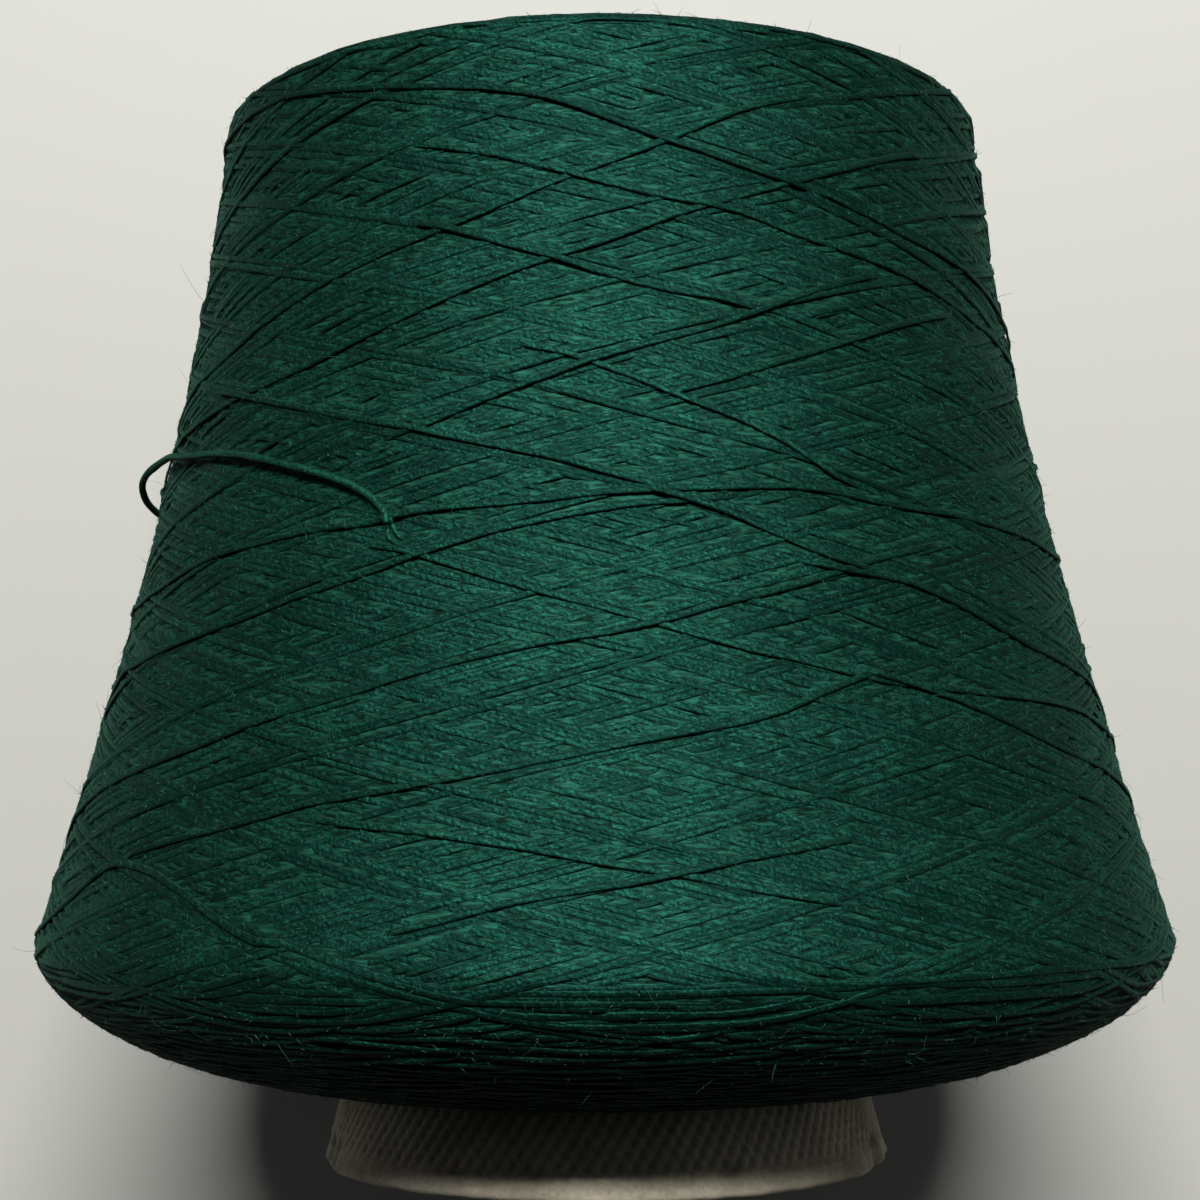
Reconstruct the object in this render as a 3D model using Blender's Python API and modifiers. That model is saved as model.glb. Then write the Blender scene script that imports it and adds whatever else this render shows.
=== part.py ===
"""Cone of yarn lying on its side: a wound package on a tapered paper former, with one loose end.

Everything is turned about the former's axis. A place on it is given by its station, measured along
the axis from the former's base rim towards its nose, and by its azimuth, measured round the axis
from the top side towards +X. The part lies along Y, with its base towards -Y and its nose towards +Y,
and touches the surface z = 0 with two small flat spots.
"""
import math

import bmesh
import bpy
from mathutils import Matrix, Vector

MM = 0.001
GAP = 0.3 * MM                      # left between two solids that touch

# Paper former
FORMER_LENGTH = 162.0 * MM
FORMER_NOSE_RADIUS = 12.5 * MM
FORMER_TAPER = 0.163                # radius gained per length: a 9.25 degree half angle
FLARE_LENGTH = 12.0 * MM            # the last stretch opens wider than the taper
FLARE_RISE = 1.2 * MM
FORMER_WALL = 1.4 * MM
LIP_DEPTH = 7.0 * MM                # the base rim is turned in this far, twice the wall thick
RIM_ROUND = 0.7 * MM

# Wound package
BASE_STATION = 11.6 * MM            # where the yarn leaves the paper at the base
WIDE_STATION = 31.1 * MM            # the widest ring, at the top of the base shoulder
WIDE_RADIUS = 79.7 * MM
SHOULDER_POWER = 1.8                # between a straight chamfer, 1, and an ellipse, 2
EDGE_STATION = 146.6 * MM           # the ring where the flank turns into the nose end
EDGE_RADIUS = 54.8 * MM
FLANK_SAG = 3.1 * MM                # how far the flank is drawn in at its middle
FLANK_SKEW = -0.33 * MM             # moves the sag a little towards the base
CROWN_RISE = 4.0 * MM
CROWN_WIDTH = 21.7 * MM
TOP_STATION = 153.0 * MM            # where the yarn leaves the paper at the nose

# Low relief of the crossing layers
RELIEF_HEIGHT = 0.4 * MM
RELIEF_LOBES = 6
RELIEF_PITCH = 17.5 * MM            # station gained per radian along a crossing layer
RELIEF_FADE = 14.0 * MM

# How it lies
FLAT_DEPTH = 0.9 * MM
CUTTER_SIZE = 0.4

TURN_STEPS = 72
CORD_DIAMETER = 1.0 * MM
CORD_POINT_SPACING = 1.15 * MM

# The loose end's route: azimuth in degrees, station and height over the yarn in millimetres. It
# comes out low on the left side, loops past the outline and then lies on the layers.
LOOSE_END_ROUTE = (
    (-103.0, 91.0, 1.0), (-98.0, 91.5, 1.2), (-92.0, 92.6, 1.9), (-87.5, 93.6, 2.8),
    (-84.0, 94.7, 3.3), (-81.0, 95.6, 3.4), (-78.5, 96.5, 3.0), (-76.0, 97.2, 2.1),
    (-73.0, 97.6, 1.3), (-69.0, 97.4, 1.0), (-63.7, 96.5, 0.92), (-57.5, 95.7, 0.92),
    (-53.0, 95.2, 0.92), (-49.1, 94.6, 0.92), (-45.7, 94.0, 0.92), (-42.6, 93.2, 0.92),
    (-39.7, 92.4, 0.92), (-35.9, 91.2, 0.92), (-32.7, 90.2, 0.92), (-29.6, 89.0, 0.92),
    (-27.2, 87.8, 0.92), (-25.3, 86.6, 0.92), (-24.0, 85.4, 0.92), (-23.1, 84.2, 0.92),
    (-22.7, 83.0, 0.92),
)

TILT = math.atan2(WIDE_RADIUS - EDGE_RADIUS, EDGE_STATION - WIDE_STATION)


def former_radius(station):
    """Outer radius of the paper former."""
    straight = FORMER_NOSE_RADIUS + FORMER_TAPER * (FORMER_LENGTH - station)
    toward_rim = max(0.0, 1.0 - station / FLARE_LENGTH)
    return straight + FLARE_RISE * toward_rim ** 2


def flank_radius(station):
    """Radius of the drawn-in flank, between the nose edge and the widest ring."""
    along = (EDGE_STATION - station) / (EDGE_STATION - WIDE_STATION)
    bow = 4.0 * along * (1.0 - along)
    line = EDGE_RADIUS + (WIDE_RADIUS - EDGE_RADIUS) * along
    return line - bow * (FLANK_SAG + 2.0 * FLANK_SKEW * (2.0 * along - 1.0))


def shoulder_radius(station):
    """Radius of the rounded base shoulder."""
    along = min(1.0, (WIDE_STATION - station) / (WIDE_STATION - BASE_STATION))
    inner = former_radius(BASE_STATION) + GAP
    return inner + (WIDE_RADIUS - inner) * (1.0 - along ** SHOULDER_POWER) ** (1.0 / SHOULDER_POWER)


def yarn_radius(station):
    """Radius of the wound form between the base and the nose edge."""
    return shoulder_radius(station) if station < WIDE_STATION else flank_radius(station)


def relief(azimuth, station):
    """Height of the crossing layers over the turned form: two helical waves of opposite hand."""
    from_ends = min(station - WIDE_STATION, EDGE_STATION - station) / RELIEF_FADE
    fade = min(1.0, max(0.0, from_ends))
    turned = (station - WIDE_STATION) / RELIEF_PITCH
    waves = math.cos(RELIEF_LOBES * azimuth) * math.cos(RELIEF_LOBES * turned)
    return RELIEF_HEIGHT * fade * fade * (3.0 - 2.0 * fade) * waves


def former_profile():
    """Closed outline of the former's wall as (radius, station), down the outside and back inside."""
    outer_stations = (0.0, 3.0, 6.0, 9.0, 12.0, 87.0, 162.0)
    outer = [(former_radius(s * MM), s * MM) for s in outer_stations]
    outer[0] = (outer[0][0], RIM_ROUND)
    outer[-1] = (outer[-1][0], FORMER_LENGTH - RIM_ROUND)
    nose_round = [(FORMER_NOSE_RADIUS - 0.5 * FORMER_WALL, FORMER_LENGTH)]
    inner_stations = (FORMER_LENGTH - RIM_ROUND, 87.0 * MM, 12.0 * MM, LIP_DEPTH + 0.6 * MM)
    inner = [(former_radius(s) - FORMER_WALL, s) for s in inner_stations]
    lip = [(former_radius(s) - 2.0 * FORMER_WALL, s) for s in (LIP_DEPTH, RIM_ROUND)]
    rim = former_radius(0.0)
    rim_round = [(rim - 2.0 * FORMER_WALL + RIM_ROUND, 0.0), (rim - RIM_ROUND, 0.0)]
    return outer + nose_round + inner + lip + rim_round


def yarn_profile():
    """Closed outline of the wound form as (radius, station): outside from base to nose, then bore."""
    points = []
    shoulder_steps = 10
    for i in range(1, shoulder_steps):
        turn = 0.5 * math.pi * i / shoulder_steps
        station = WIDE_STATION - (WIDE_STATION - BASE_STATION) * math.cos(turn) ** (2.0 / SHOULDER_POWER)
        points.append((shoulder_radius(station), station))
    flank_steps = 22
    for i in range(flank_steps + 1):
        station = WIDE_STATION + (EDGE_STATION - WIDE_STATION) * i / flank_steps
        points.append((flank_radius(station), station))
    crown_steps = 6
    for i in range(1, crown_steps + 1):
        turn = 0.5 * math.pi * i / crown_steps
        radius = EDGE_RADIUS - CROWN_WIDTH * (1.0 - math.cos(turn))
        points.append((radius, EDGE_STATION + CROWN_RISE * math.sin(turn)))
    points.append((former_radius(TOP_STATION) + GAP + 2.0 * MM, TOP_STATION))
    bore_stations = (TOP_STATION - 0.5 * MM, 87.0 * MM, BASE_STATION)
    points.extend((former_radius(s) + GAP, s) for s in bore_stations)
    return points


def lying_frame(profiles):
    """Matrix that lays the turned form on z = 0, with its box centred over the origin in Y."""
    low, high = [], []
    for radius, station in profiles:
        low.append(station * math.cos(TILT) - radius * math.sin(TILT))
        high.append(station * math.cos(TILT) + radius * math.sin(TILT))
    middle = 0.5 * (min(low) + max(high))
    axis_height = WIDE_STATION * math.sin(TILT) + WIDE_RADIUS * math.cos(TILT) - FLAT_DEPTH
    turn = Matrix.Rotation(0.5 * math.pi - TILT, 4, "X")
    return Matrix.Translation((0.0, -middle, axis_height)) @ turn


def on_yarn(azimuth, station, height):
    """Point over the yarn, in the turned form's own axes: X right, Y up, Z towards the base."""
    radius = yarn_radius(station) + relief(azimuth, station) + height
    return Vector((radius * math.sin(azimuth), radius * math.cos(azimuth), -station))


def collection(name):
    made = bpy.data.collections.new(name)
    bpy.context.scene.collection.children.link(made)
    return made


def material(name, colour, roughness):
    made = bpy.data.materials.new(name)
    made.use_nodes = True
    shader = made.node_tree.nodes["Principled BSDF"]
    shader.inputs["Base Color"].default_value = (*colour, 1.0)
    shader.inputs["Roughness"].default_value = roughness
    shader.inputs["Metallic"].default_value = 0.0
    return made


def turned(name, profile, home, parent):
    """Object whose closed profile, given as (radius, station), is screwed once round the axis."""
    mesh = bpy.data.meshes.new(name)
    count = len(profile)
    edges = [(i, (i + 1) % count) for i in range(count)]
    mesh.from_pydata([(radius, 0.0, -station) for radius, station in profile], edges, [])
    made = bpy.data.objects.new(name, mesh)
    home.objects.link(made)
    made.parent = parent
    screw = made.modifiers.new("turn", "SCREW")
    screw.axis = "Z"
    screw.angle = 2.0 * math.pi
    screw.steps = TURN_STEPS
    screw.render_steps = TURN_STEPS
    screw.use_merge_vertices = True
    screw.merge_threshold = 0.00001
    screw.use_smooth_shade = True
    return made


def fix_shape(made):
    """Turns an object's modifiers into its mesh."""
    bpy.context.view_layer.update()
    graph = bpy.context.evaluated_depsgraph_get()
    mesh = bpy.data.meshes.new_from_object(made.evaluated_get(graph))
    made.modifiers.clear()
    made.data = mesh


def raise_relief(made):
    """Moves the flank's points out and in by the relief of the crossing layers."""
    shape = bmesh.new()
    shape.from_mesh(made.data)
    for vertex in shape.verts:
        station = -vertex.co.z
        radius = math.hypot(vertex.co.x, vertex.co.y)
        on_flank = WIDE_STATION < station < EDGE_STATION and radius > EDGE_RADIUS - CROWN_WIDTH
        if on_flank:
            azimuth = math.atan2(vertex.co.x, vertex.co.y)
            grown = 1.0 + relief(azimuth, station) / radius
            vertex.co.x *= grown
            vertex.co.y *= grown
    shape.to_mesh(made.data)
    shape.free()


def flatten_where_it_lies(made, home):
    """Cuts off what would reach below the surface, which leaves the flat spots."""
    bpy.ops.mesh.primitive_cube_add(size=CUTTER_SIZE, location=(0.0, 0.0, -0.5 * CUTTER_SIZE))
    cutter = bpy.context.object
    cutter.name = "surface_cutter"
    cutter.hide_render = True
    cutter.display_type = "WIRE"
    for other in cutter.users_collection:
        other.objects.unlink(cutter)
    home.objects.link(cutter)
    cut = made.modifiers.new("flat_spots", "BOOLEAN")
    cut.operation = "DIFFERENCE"
    cut.solver = "EXACT"
    cut.object = cutter


def smooth_points(route, spacing):
    """Points at an even spacing on a Catmull-Rom curve through a route's points."""
    ends = [2 * route[0] - route[1]] + route + [2 * route[-1] - route[-2]]
    dense = []
    steps = 24
    for a, b, c, d in zip(ends, ends[1:], ends[2:], ends[3:]):
        for i in range(steps):
            t = i / steps
            dense.append(0.5 * (2 * b + (c - a) * t + (2 * a - 5 * b + 4 * c - d) * t * t
                                + (3 * b - a - 3 * c + d) * t ** 3))
    dense.append(route[-1])
    along = [0.0]
    for a, b in zip(dense, dense[1:]):
        along.append(along[-1] + (b - a).length)
    count = round(along[-1] / spacing)
    points = []
    at = 0
    for i in range(count + 1):
        wanted = along[-1] * i / count
        while at < len(along) - 2 and along[at + 1] < wanted:
            at += 1
        share = (wanted - along[at]) / (along[at + 1] - along[at])
        points.append(dense[at].lerp(dense[at + 1], share))
    return points


def cord(name, points, home, parent):
    """Round cord along its points, with filled ends."""
    data = bpy.data.curves.new(name, "CURVE")
    data.dimensions = "3D"
    data.bevel_depth = 0.5 * CORD_DIAMETER
    data.bevel_resolution = 2
    data.use_fill_caps = True
    spline = data.splines.new("POLY")
    spline.points.add(len(points) - 1)
    for place, point in zip(spline.points, points):
        place.co = (*point, 1.0)
    made = bpy.data.objects.new(name, data)
    home.objects.link(made)
    made.parent = parent
    return made


def main():
    for old in list(bpy.data.objects):
        bpy.data.objects.remove(old, do_unlink=True)
    home = collection("cone_of_yarn")
    cutters = collection("cutters")

    yarn_green = material("wool_yarn", (0.010, 0.080, 0.052), 0.95)
    card_grey = material("former_card", (0.330, 0.305, 0.260), 0.90)

    former_outline = former_profile()
    yarn_outline = yarn_profile()
    axis = bpy.data.objects.new("cone_axis", None)
    home.objects.link(axis)
    axis.matrix_world = lying_frame(former_outline + yarn_outline)

    former = turned("paper_cone", former_outline, home, axis)
    former.data.materials.append(card_grey)

    package = turned("yarn_package", yarn_outline, home, axis)
    package.data.materials.append(yarn_green)
    fix_shape(package)
    raise_relief(package)
    flatten_where_it_lies(package, cutters)

    route = [on_yarn(math.radians(azimuth), station * MM, height * MM)
             for azimuth, station, height in LOOSE_END_ROUTE]
    end = cord("loose_end", smooth_points(route, CORD_POINT_SPACING), home, axis)
    end.data.materials.append(yarn_green)


main()
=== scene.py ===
"""Cone of cross-wound wool yarn on a grey card former, lying on its side on a pale surface.

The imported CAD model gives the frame: its three nodes are the wound package, the former and the
loose end. Each is replaced here by pieces that have the real thing's detail. The package is wound
again, stroke by stroke, on an unrolled height map of its surface, and the yarn that is still in
sight at the end becomes the strands. Lengths are in millimetres until a mesh is made.

A place on the package is given by its azimuth, round the former's axis from the top side towards
+X, by its station, along the axis from the base rim, and by its way over the outline from the base.
"""
import logging
import math
from dataclasses import dataclass, field
from enum import Enum

import bpy
import numpy as np
from bpy.types import Material, Mesh, Node, NodeTree, Object
from mathutils import Matrix
from numpy.random import Generator


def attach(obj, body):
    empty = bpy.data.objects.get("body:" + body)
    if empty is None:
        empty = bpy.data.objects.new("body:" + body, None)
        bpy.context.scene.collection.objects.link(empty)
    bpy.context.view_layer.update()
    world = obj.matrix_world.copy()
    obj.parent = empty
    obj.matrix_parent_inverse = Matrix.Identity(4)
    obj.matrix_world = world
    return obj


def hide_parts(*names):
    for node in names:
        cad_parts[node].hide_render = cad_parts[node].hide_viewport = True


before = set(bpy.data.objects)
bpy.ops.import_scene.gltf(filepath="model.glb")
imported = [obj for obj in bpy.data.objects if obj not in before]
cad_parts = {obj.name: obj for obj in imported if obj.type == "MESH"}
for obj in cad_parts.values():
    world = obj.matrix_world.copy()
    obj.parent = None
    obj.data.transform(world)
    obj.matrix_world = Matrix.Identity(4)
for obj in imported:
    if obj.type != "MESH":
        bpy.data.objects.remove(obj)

Array = np.ndarray
Route = tuple[tuple[float, float], ...]

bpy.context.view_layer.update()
BODY = "root"
MM = 0.001
TURN = 2.0 * math.pi
SEED = 20

log = logging.getLogger("cone_of_yarn")


# ---- colours and nodes

def linear(code: str) -> tuple[float, float, float, float]:
    """Turns an sRGB hex colour into linear RGBA.

    Args:
        code: six hex digits, with or without a leading hash.

    Returns:
        The linear red, green and blue, and an alpha of one.
    """
    digits = code.lstrip("#")
    shares = [int(digits[i:i + 2], 16) / 255.0 for i in (0, 2, 4)]
    low = [share / 12.92 for share in shares]
    high = [((share + 0.055) / 1.055) ** 2.4 for share in shares]
    red, green, blue = (dim if share <= 0.04045 else bright
                        for share, dim, bright in zip(shares, low, high))
    return red, green, blue, 1.0


def add_node(tree: NodeTree, kind: str, settings: dict | None = None, links: dict | None = None) -> Node:
    """Adds a node with its settings and links.

    Args:
        tree: the material's or world's node tree.
        kind: the node's type name, without its first word ShaderNode.
        settings: values by the name or number of an input socket, or by the name of a property.
        links: output sockets, or nodes for their first one, by the name or number of an input socket.

    Returns:
        The new node.
    """
    node = tree.nodes.new("ShaderNode" + kind)
    for key, value in (settings or {}).items():
        if isinstance(key, int) or key in node.inputs:
            node.inputs[key].default_value = value
        else:
            setattr(node, key, value)
    for key, source in (links or {}).items():
        tree.links.new(source.outputs[0] if isinstance(source, Node) else source, node.inputs[key])
    return node


def new_material(name: str) -> tuple[Material, NodeTree]:
    """Makes a material with an empty node tree.

    Args:
        name: the material's name.

    Returns:
        The material and its node tree.
    """
    material = bpy.data.materials.new(name)
    material.use_nodes = True
    material.node_tree.nodes.clear()
    return material, material.node_tree


def set_ramp(node: Node, stops: tuple[tuple[float, tuple], ...]) -> None:
    """Sets the stops of a colour ramp node.

    Args:
        node: the colour ramp node.
        stops: pairs of a place from 0 to 1 and a linear RGBA colour.
    """
    ramp = node.color_ramp
    while len(ramp.elements) > 1:
        ramp.elements.remove(ramp.elements[-1])
    ramp.elements[0].position = stops[0][0]
    ramp.elements[0].color = stops[0][1]
    for place, colour in stops[1:]:
        ramp.elements.new(place).color = colour


# ---- arrays, meshes and objects

def unit(vectors: Array) -> Array:
    """Scales vectors, along the last axis of an array, to a length of one."""
    return vectors / np.linalg.norm(vectors, axis=-1, keepdims=True)


def lengths_along(points: Array) -> Array:
    """Gives the length of a line up to each of its points, one row each."""
    return np.concatenate([[0.0], np.cumsum(np.linalg.norm(np.diff(points, axis=0), axis=1))])


def eased(share: Array) -> Array:
    """Turns shares from 0 to 1 into ones that start and end softly."""
    return share * share * (3.0 - 2.0 * share)


def set_map(mesh: Mesh, name: str, corners: Array) -> None:
    """Adds a UV map with the places of all face corners, one row each."""
    mesh.uv_layers.new(name=name).data.foreach_set("uv", corners.astype(np.float32).ravel())


def set_values(mesh: Mesh, name: str, values: Array) -> None:
    """Adds an attribute with one value for each vertex."""
    mesh.attributes.new(name, "FLOAT", "POINT").data.foreach_set("value", values.astype(np.float32))


def linked(name: str, data: bpy.types.ID) -> Object:
    """Makes an object of a mesh, a camera or a light and puts it into the scene.

    Args:
        name: the object's name.
        data: what it holds.

    Returns:
        The object.
    """
    made = bpy.data.objects.new(name, data)
    bpy.context.scene.collection.objects.link(made)
    return made


def standing(right: Array, up: Array, back: Array, place: Array) -> Matrix:
    """Gives the matrix of a camera or a light.

    Args:
        right: its own X axis.
        up: its own Y axis.
        back: its own Z axis, away from what it looks at.
        place: where it is.

    Returns:
        The matrix.
    """
    turned = np.eye(4)
    turned[:3] = np.stack([right, up, back, place], 1)
    return Matrix(turned.tolist())


# ---- finishes

class Twist(Enum):
    """Hand of a ply twist, as the sign of its slope round the strand."""

    Z = 1.0
    S = -1.0


@dataclass(frozen=True)
class WoollenYarn:
    """Two-ply woollen-spun wool, dyed bottle green: soft plies, short fibres and a dull silky gleam.

    Light passes into the dyed fibres and comes back coloured, in one broad lobe. A shader has such a
    coloured lobe only as a metal's, so most of the reflection is set as metallic and very rough.
    """

    name: str = "wool_two_ply_woollen_spun_dyed"
    deep: str = "#030f0c"
    middle: str = "#0a261f"
    pale: str = "#1a4e3f"
    edge: str = "#2e6855"
    gleam_share: float = 0.84
    roughness: float = 0.6
    sheen: float = 0.09
    sheen_tint: str = "#6aa88f"
    ply_length: float = 4.2
    ply_wander: float = 2.0
    twist: Twist = Twist.Z
    # Wool fibres are 0.02 to 0.03 mm thick, too fine to show, so they are drawn 0.2 mm wide.
    fibre_length: float = 1.5
    fibre_width: float = 0.2
    # Scales in metres: specks of haze about 0.34 mm apart, partly the fibre ends' own tone and partly
    # painted highlights, and clouds in the dye of about 6 mm.
    haze_and_highlight_scale: float = 2900.0
    cloud_scale: float = 160.0
    # How much each pattern adds to the tone, and the tones of the three colours.
    fibre_share: float = 0.45
    ply_groove_shade_share: float = 0.13
    haze_and_highlight_share: float = 0.75
    cloud_share: float = 0.25
    tone_scale: float = 0.8
    tones: tuple[float, float, float] = (0.47, 0.76, 1.0)
    bump: float = 0.3

    def material(self) -> Material:
        """Builds the material from the strand's own map, length in mm along and share of a turn round.

        Returns:
            The yarn material.
        """
        material, tree = new_material(self.name)
        strand = add_node(tree, "UVMap", {"uv_map": "strand"})
        split = add_node(tree, "SeparateXYZ", links={0: strand})
        around = add_node(tree, "Math", {"operation": "MULTIPLY", 1: TURN}, {0: split.outputs[1]})
        slow = add_node(tree, "Math", {"operation": "MULTIPLY", 1: 0.45}, {0: split})
        wander = add_node(tree, "TexNoise", {"noise_dimensions": "1D", "Scale": 1.0, "Detail": 1.0},
                          {"W": slow})
        turned = add_node(tree, "Math", {"operation": "MULTIPLY_ADD", 1: TURN * self.ply_wander / 2.0},
                          {0: wander, 2: around})
        ply_angle = add_node(tree, "Math",
                             {"operation": "MULTIPLY_ADD", 1: TURN * self.twist.value / self.ply_length},
                             {0: split, 2: turned})
        wave = add_node(tree, "Math", {"operation": "COSINE"}, {0: ply_angle})
        ply = add_node(tree, "Math", {"operation": "ABSOLUTE"}, {0: wave})

        ring = 0.9 * math.pi / self.fibre_width / TURN
        side = add_node(tree, "Math", {"operation": "COSINE"}, {0: around})
        rise = add_node(tree, "Math", {"operation": "SINE"}, {0: around})
        along = add_node(tree, "Math", {"operation": "MULTIPLY", 1: 1.0 / self.fibre_length}, {0: split})
        round_strand = add_node(tree, "CombineXYZ", links={0: along, 1: side, 2: rise})
        drawn_out = add_node(tree, "VectorMath", {"operation": "MULTIPLY", 1: (1.0, ring, ring)},
                             {0: round_strand})
        fibres = add_node(tree, "TexNoise", {"Scale": 1.0, "Detail": 3.0, "Roughness": 0.65},
                          {"Vector": drawn_out})
        place = add_node(tree, "TexCoord").outputs["Object"]
        clouds = add_node(tree, "TexNoise", {"Scale": self.cloud_scale, "Detail": 3.0}, {"Vector": place})
        # Paler specks all over the yarn: the fibre ends' random tone and painted highlights of fibres that
        # catch the light.
        haze = add_node(tree, "TexNoise", {"Scale": self.haze_and_highlight_scale, "Detail": 3.0, "Roughness": 0.6},
                        {"Vector": place})
        tone = add_node(tree, "Attribute", {"attribute_name": "shade"}).outputs["Fac"]
        # The ply pattern lightens each ply and darkens the groove between the two: painted shade in the
        # groove.
        for pattern, part in ((fibres, self.fibre_share), (ply, self.ply_groove_shade_share), (haze, self.haze_and_highlight_share),
                              (clouds, self.cloud_share)):
            tone = add_node(tree, "Math", {"operation": "MULTIPLY_ADD", 1: part}, {0: pattern, 2: tone})
        scaled = add_node(tree, "Math", {"operation": "MULTIPLY", 1: self.tone_scale}, {0: tone})
        ramp = add_node(tree, "ValToRGB", links={0: scaled})
        colours = (linear(self.deep), linear(self.middle), linear(self.pale))
        set_ramp(ramp, tuple(zip(self.tones, colours)))

        height = add_node(tree, "Math", {"operation": "MULTIPLY_ADD", 1: 1.2}, {0: fibres, 2: ply})
        nubbly = add_node(tree, "Math", {"operation": "MULTIPLY_ADD", 1: 1.6}, {0: haze, 2: height})
        bump = add_node(tree, "Bump", {"Strength": self.bump, "Distance": 0.0002}, {"Height": nubbly})
        shader = add_node(tree, "BsdfPrincipled",
                          {"Roughness": self.roughness, "Metallic": self.gleam_share,
                           "Sheen Weight": self.sheen, "Sheen Roughness": 0.4,
                           "Sheen Tint": linear(self.sheen_tint), "Specular IOR Level": 0.3,
                           "Specular Tint": linear(self.edge)},
                          {"Base Color": ramp, "Normal": bump})
        add_node(tree, "OutputMaterial", links={"Surface": shader})
        return material


@dataclass(frozen=True)
class ShadedUnderwinding:
    """The layers under the outer strands: the same wool, seen only in the gaps and nearly unlit."""

    name: str = "wool_under_layers_shaded"
    dark: str = "#081a14"
    light: str = "#1c4a3d"
    edge: str = "#12332a"
    streaks: tuple[float, float, float] = (190.0, 520.0, 1.0)

    def material(self) -> Material:
        """Builds the material from streaks of about 2.2 by 0.4 mm round the package, on its own map.

        Returns:
            The material of the under layers.
        """
        material, tree = new_material(self.name)
        own_map = add_node(tree, "UVMap", {"uv_map": "OFBake"})
        stretched = add_node(tree, "VectorMath", {"operation": "MULTIPLY", 1: self.streaks}, {0: own_map})
        threads = add_node(tree, "TexNoise", {"Scale": 1.0, "Detail": 3.0}, {"Vector": stretched})
        ramp = add_node(tree, "ValToRGB", links={0: threads})
        set_ramp(ramp, ((0.36, linear(self.dark)), (0.68, linear(self.light))))
        bump = add_node(tree, "Bump", {"Strength": 0.7, "Distance": 0.0004}, {"Height": threads})
        shader = add_node(tree, "BsdfPrincipled",
                          {"Roughness": 0.65, "Metallic": 0.8, "Specular IOR Level": 0.1,
                           "Specular Tint": linear(self.edge)},
                          {"Base Color": ramp, "Normal": bump})
        add_node(tree, "OutputMaterial", links={"Surface": shader})
        return material


@dataclass(frozen=True)
class LooseFibre:
    """Single wool fibres that stand out of the yarn: thin, dull, a little paler than the package, partly
    their own tone and partly a painted highlight.
    """

    name: str = "wool_fibre_ends_loose"
    dark: str = "#0d2c23"
    light: str = "#174639"

    def material(self) -> Material:
        """Builds the material, a little lighter at random from place to place.

        Returns:
            The fibre material.
        """
        material, tree = new_material(self.name)
        place = add_node(tree, "TexCoord").outputs["Object"]
        noise = add_node(tree, "TexNoise", {"Scale": 260.0}, {"Vector": place})
        ramp = add_node(tree, "ValToRGB", links={0: noise})
        set_ramp(ramp, ((0.3, linear(self.dark)), (0.7, linear(self.light))))
        shader = add_node(tree, "BsdfPrincipled", {"Roughness": 0.8, "Specular IOR Level": 0.2},
                          {"Base Color": ramp})
        add_node(tree, "OutputMaterial", links={"Surface": shader})
        return material


@dataclass(frozen=True)
class EmbossedCard:
    """Grey-beige recycled card, rolled, glued and embossed: matt, with fine specks of fibre."""

    name: str = "card_recycled_rolled_embossed"
    dark: str = "#807a6b"
    light: str = "#a69f8c"

    def material(self) -> Material:
        """Builds the material from fibre specks of about 0.3 mm and cloudy patches of about 8 mm, with
        painted shade in the grooves between the ribs and a little painted light on their tops.

        Returns:
            The card material.
        """
        material, tree = new_material(self.name)
        place = add_node(tree, "TexCoord").outputs["Object"]
        specks = add_node(tree, "TexNoise", {"Scale": 1500.0, "Detail": 3.0}, {"Vector": place})
        clouds = add_node(tree, "TexNoise", {"Scale": 110.0, "Detail": 4.0}, {"Vector": place})
        tone = add_node(tree, "Math", {"operation": "MULTIPLY_ADD", 1: 0.5}, {0: specks, 2: clouds})
        ramp = add_node(tree, "ValToRGB", links={0: tone})
        set_ramp(ramp, ((0.55, linear(self.dark)), (0.95, linear(self.light))))
        # Painted shade: the rib height darkens the grooves to under half their colour and lightens the rib
        # tops a little.
        pressed = add_node(tree, "Attribute", {"attribute_name": "raised"}).outputs["Fac"]
        painted_groove_shade = add_node(tree, "MapRange", {1: 0.0, 2: 1.0, 3: 0.45, 4: 1.08}, {0: pressed})
        shaded = add_node(tree, "VectorMath", {"operation": "SCALE"}, {0: ramp, "Scale": painted_groove_shade})
        bump = add_node(tree, "Bump", {"Strength": 0.35, "Distance": 0.0002}, {"Height": specks})
        shader = add_node(tree, "BsdfPrincipled", {"Roughness": 0.88, "Specular IOR Level": 0.25},
                          {"Base Color": shaded, "Normal": bump})
        add_node(tree, "OutputMaterial", links={"Surface": shader})
        return material


@dataclass(frozen=True)
class PaleSurface:
    """Plain pale laminate under the cone, matt and nearly without marks."""

    name: str = "laminate_pale_matt"
    colour: str = "#979792"

    def material(self) -> Material:
        """Builds the material with a faint cloudiness in its roughness.

        Returns:
            The floor material.
        """
        material, tree = new_material(self.name)
        place = add_node(tree, "TexCoord").outputs["Object"]
        noise = add_node(tree, "TexNoise", {"Scale": 40.0, "Detail": 3.0}, {"Vector": place})
        rough = add_node(tree, "MapRange", {3: 0.55, 4: 0.7}, {0: noise})
        shader = add_node(tree, "BsdfPrincipled", {"Base Color": linear(self.colour)},
                          {"Roughness": rough})
        add_node(tree, "OutputMaterial", links={"Surface": shader})
        return material


# ---- the turned form and how it lies

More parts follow.
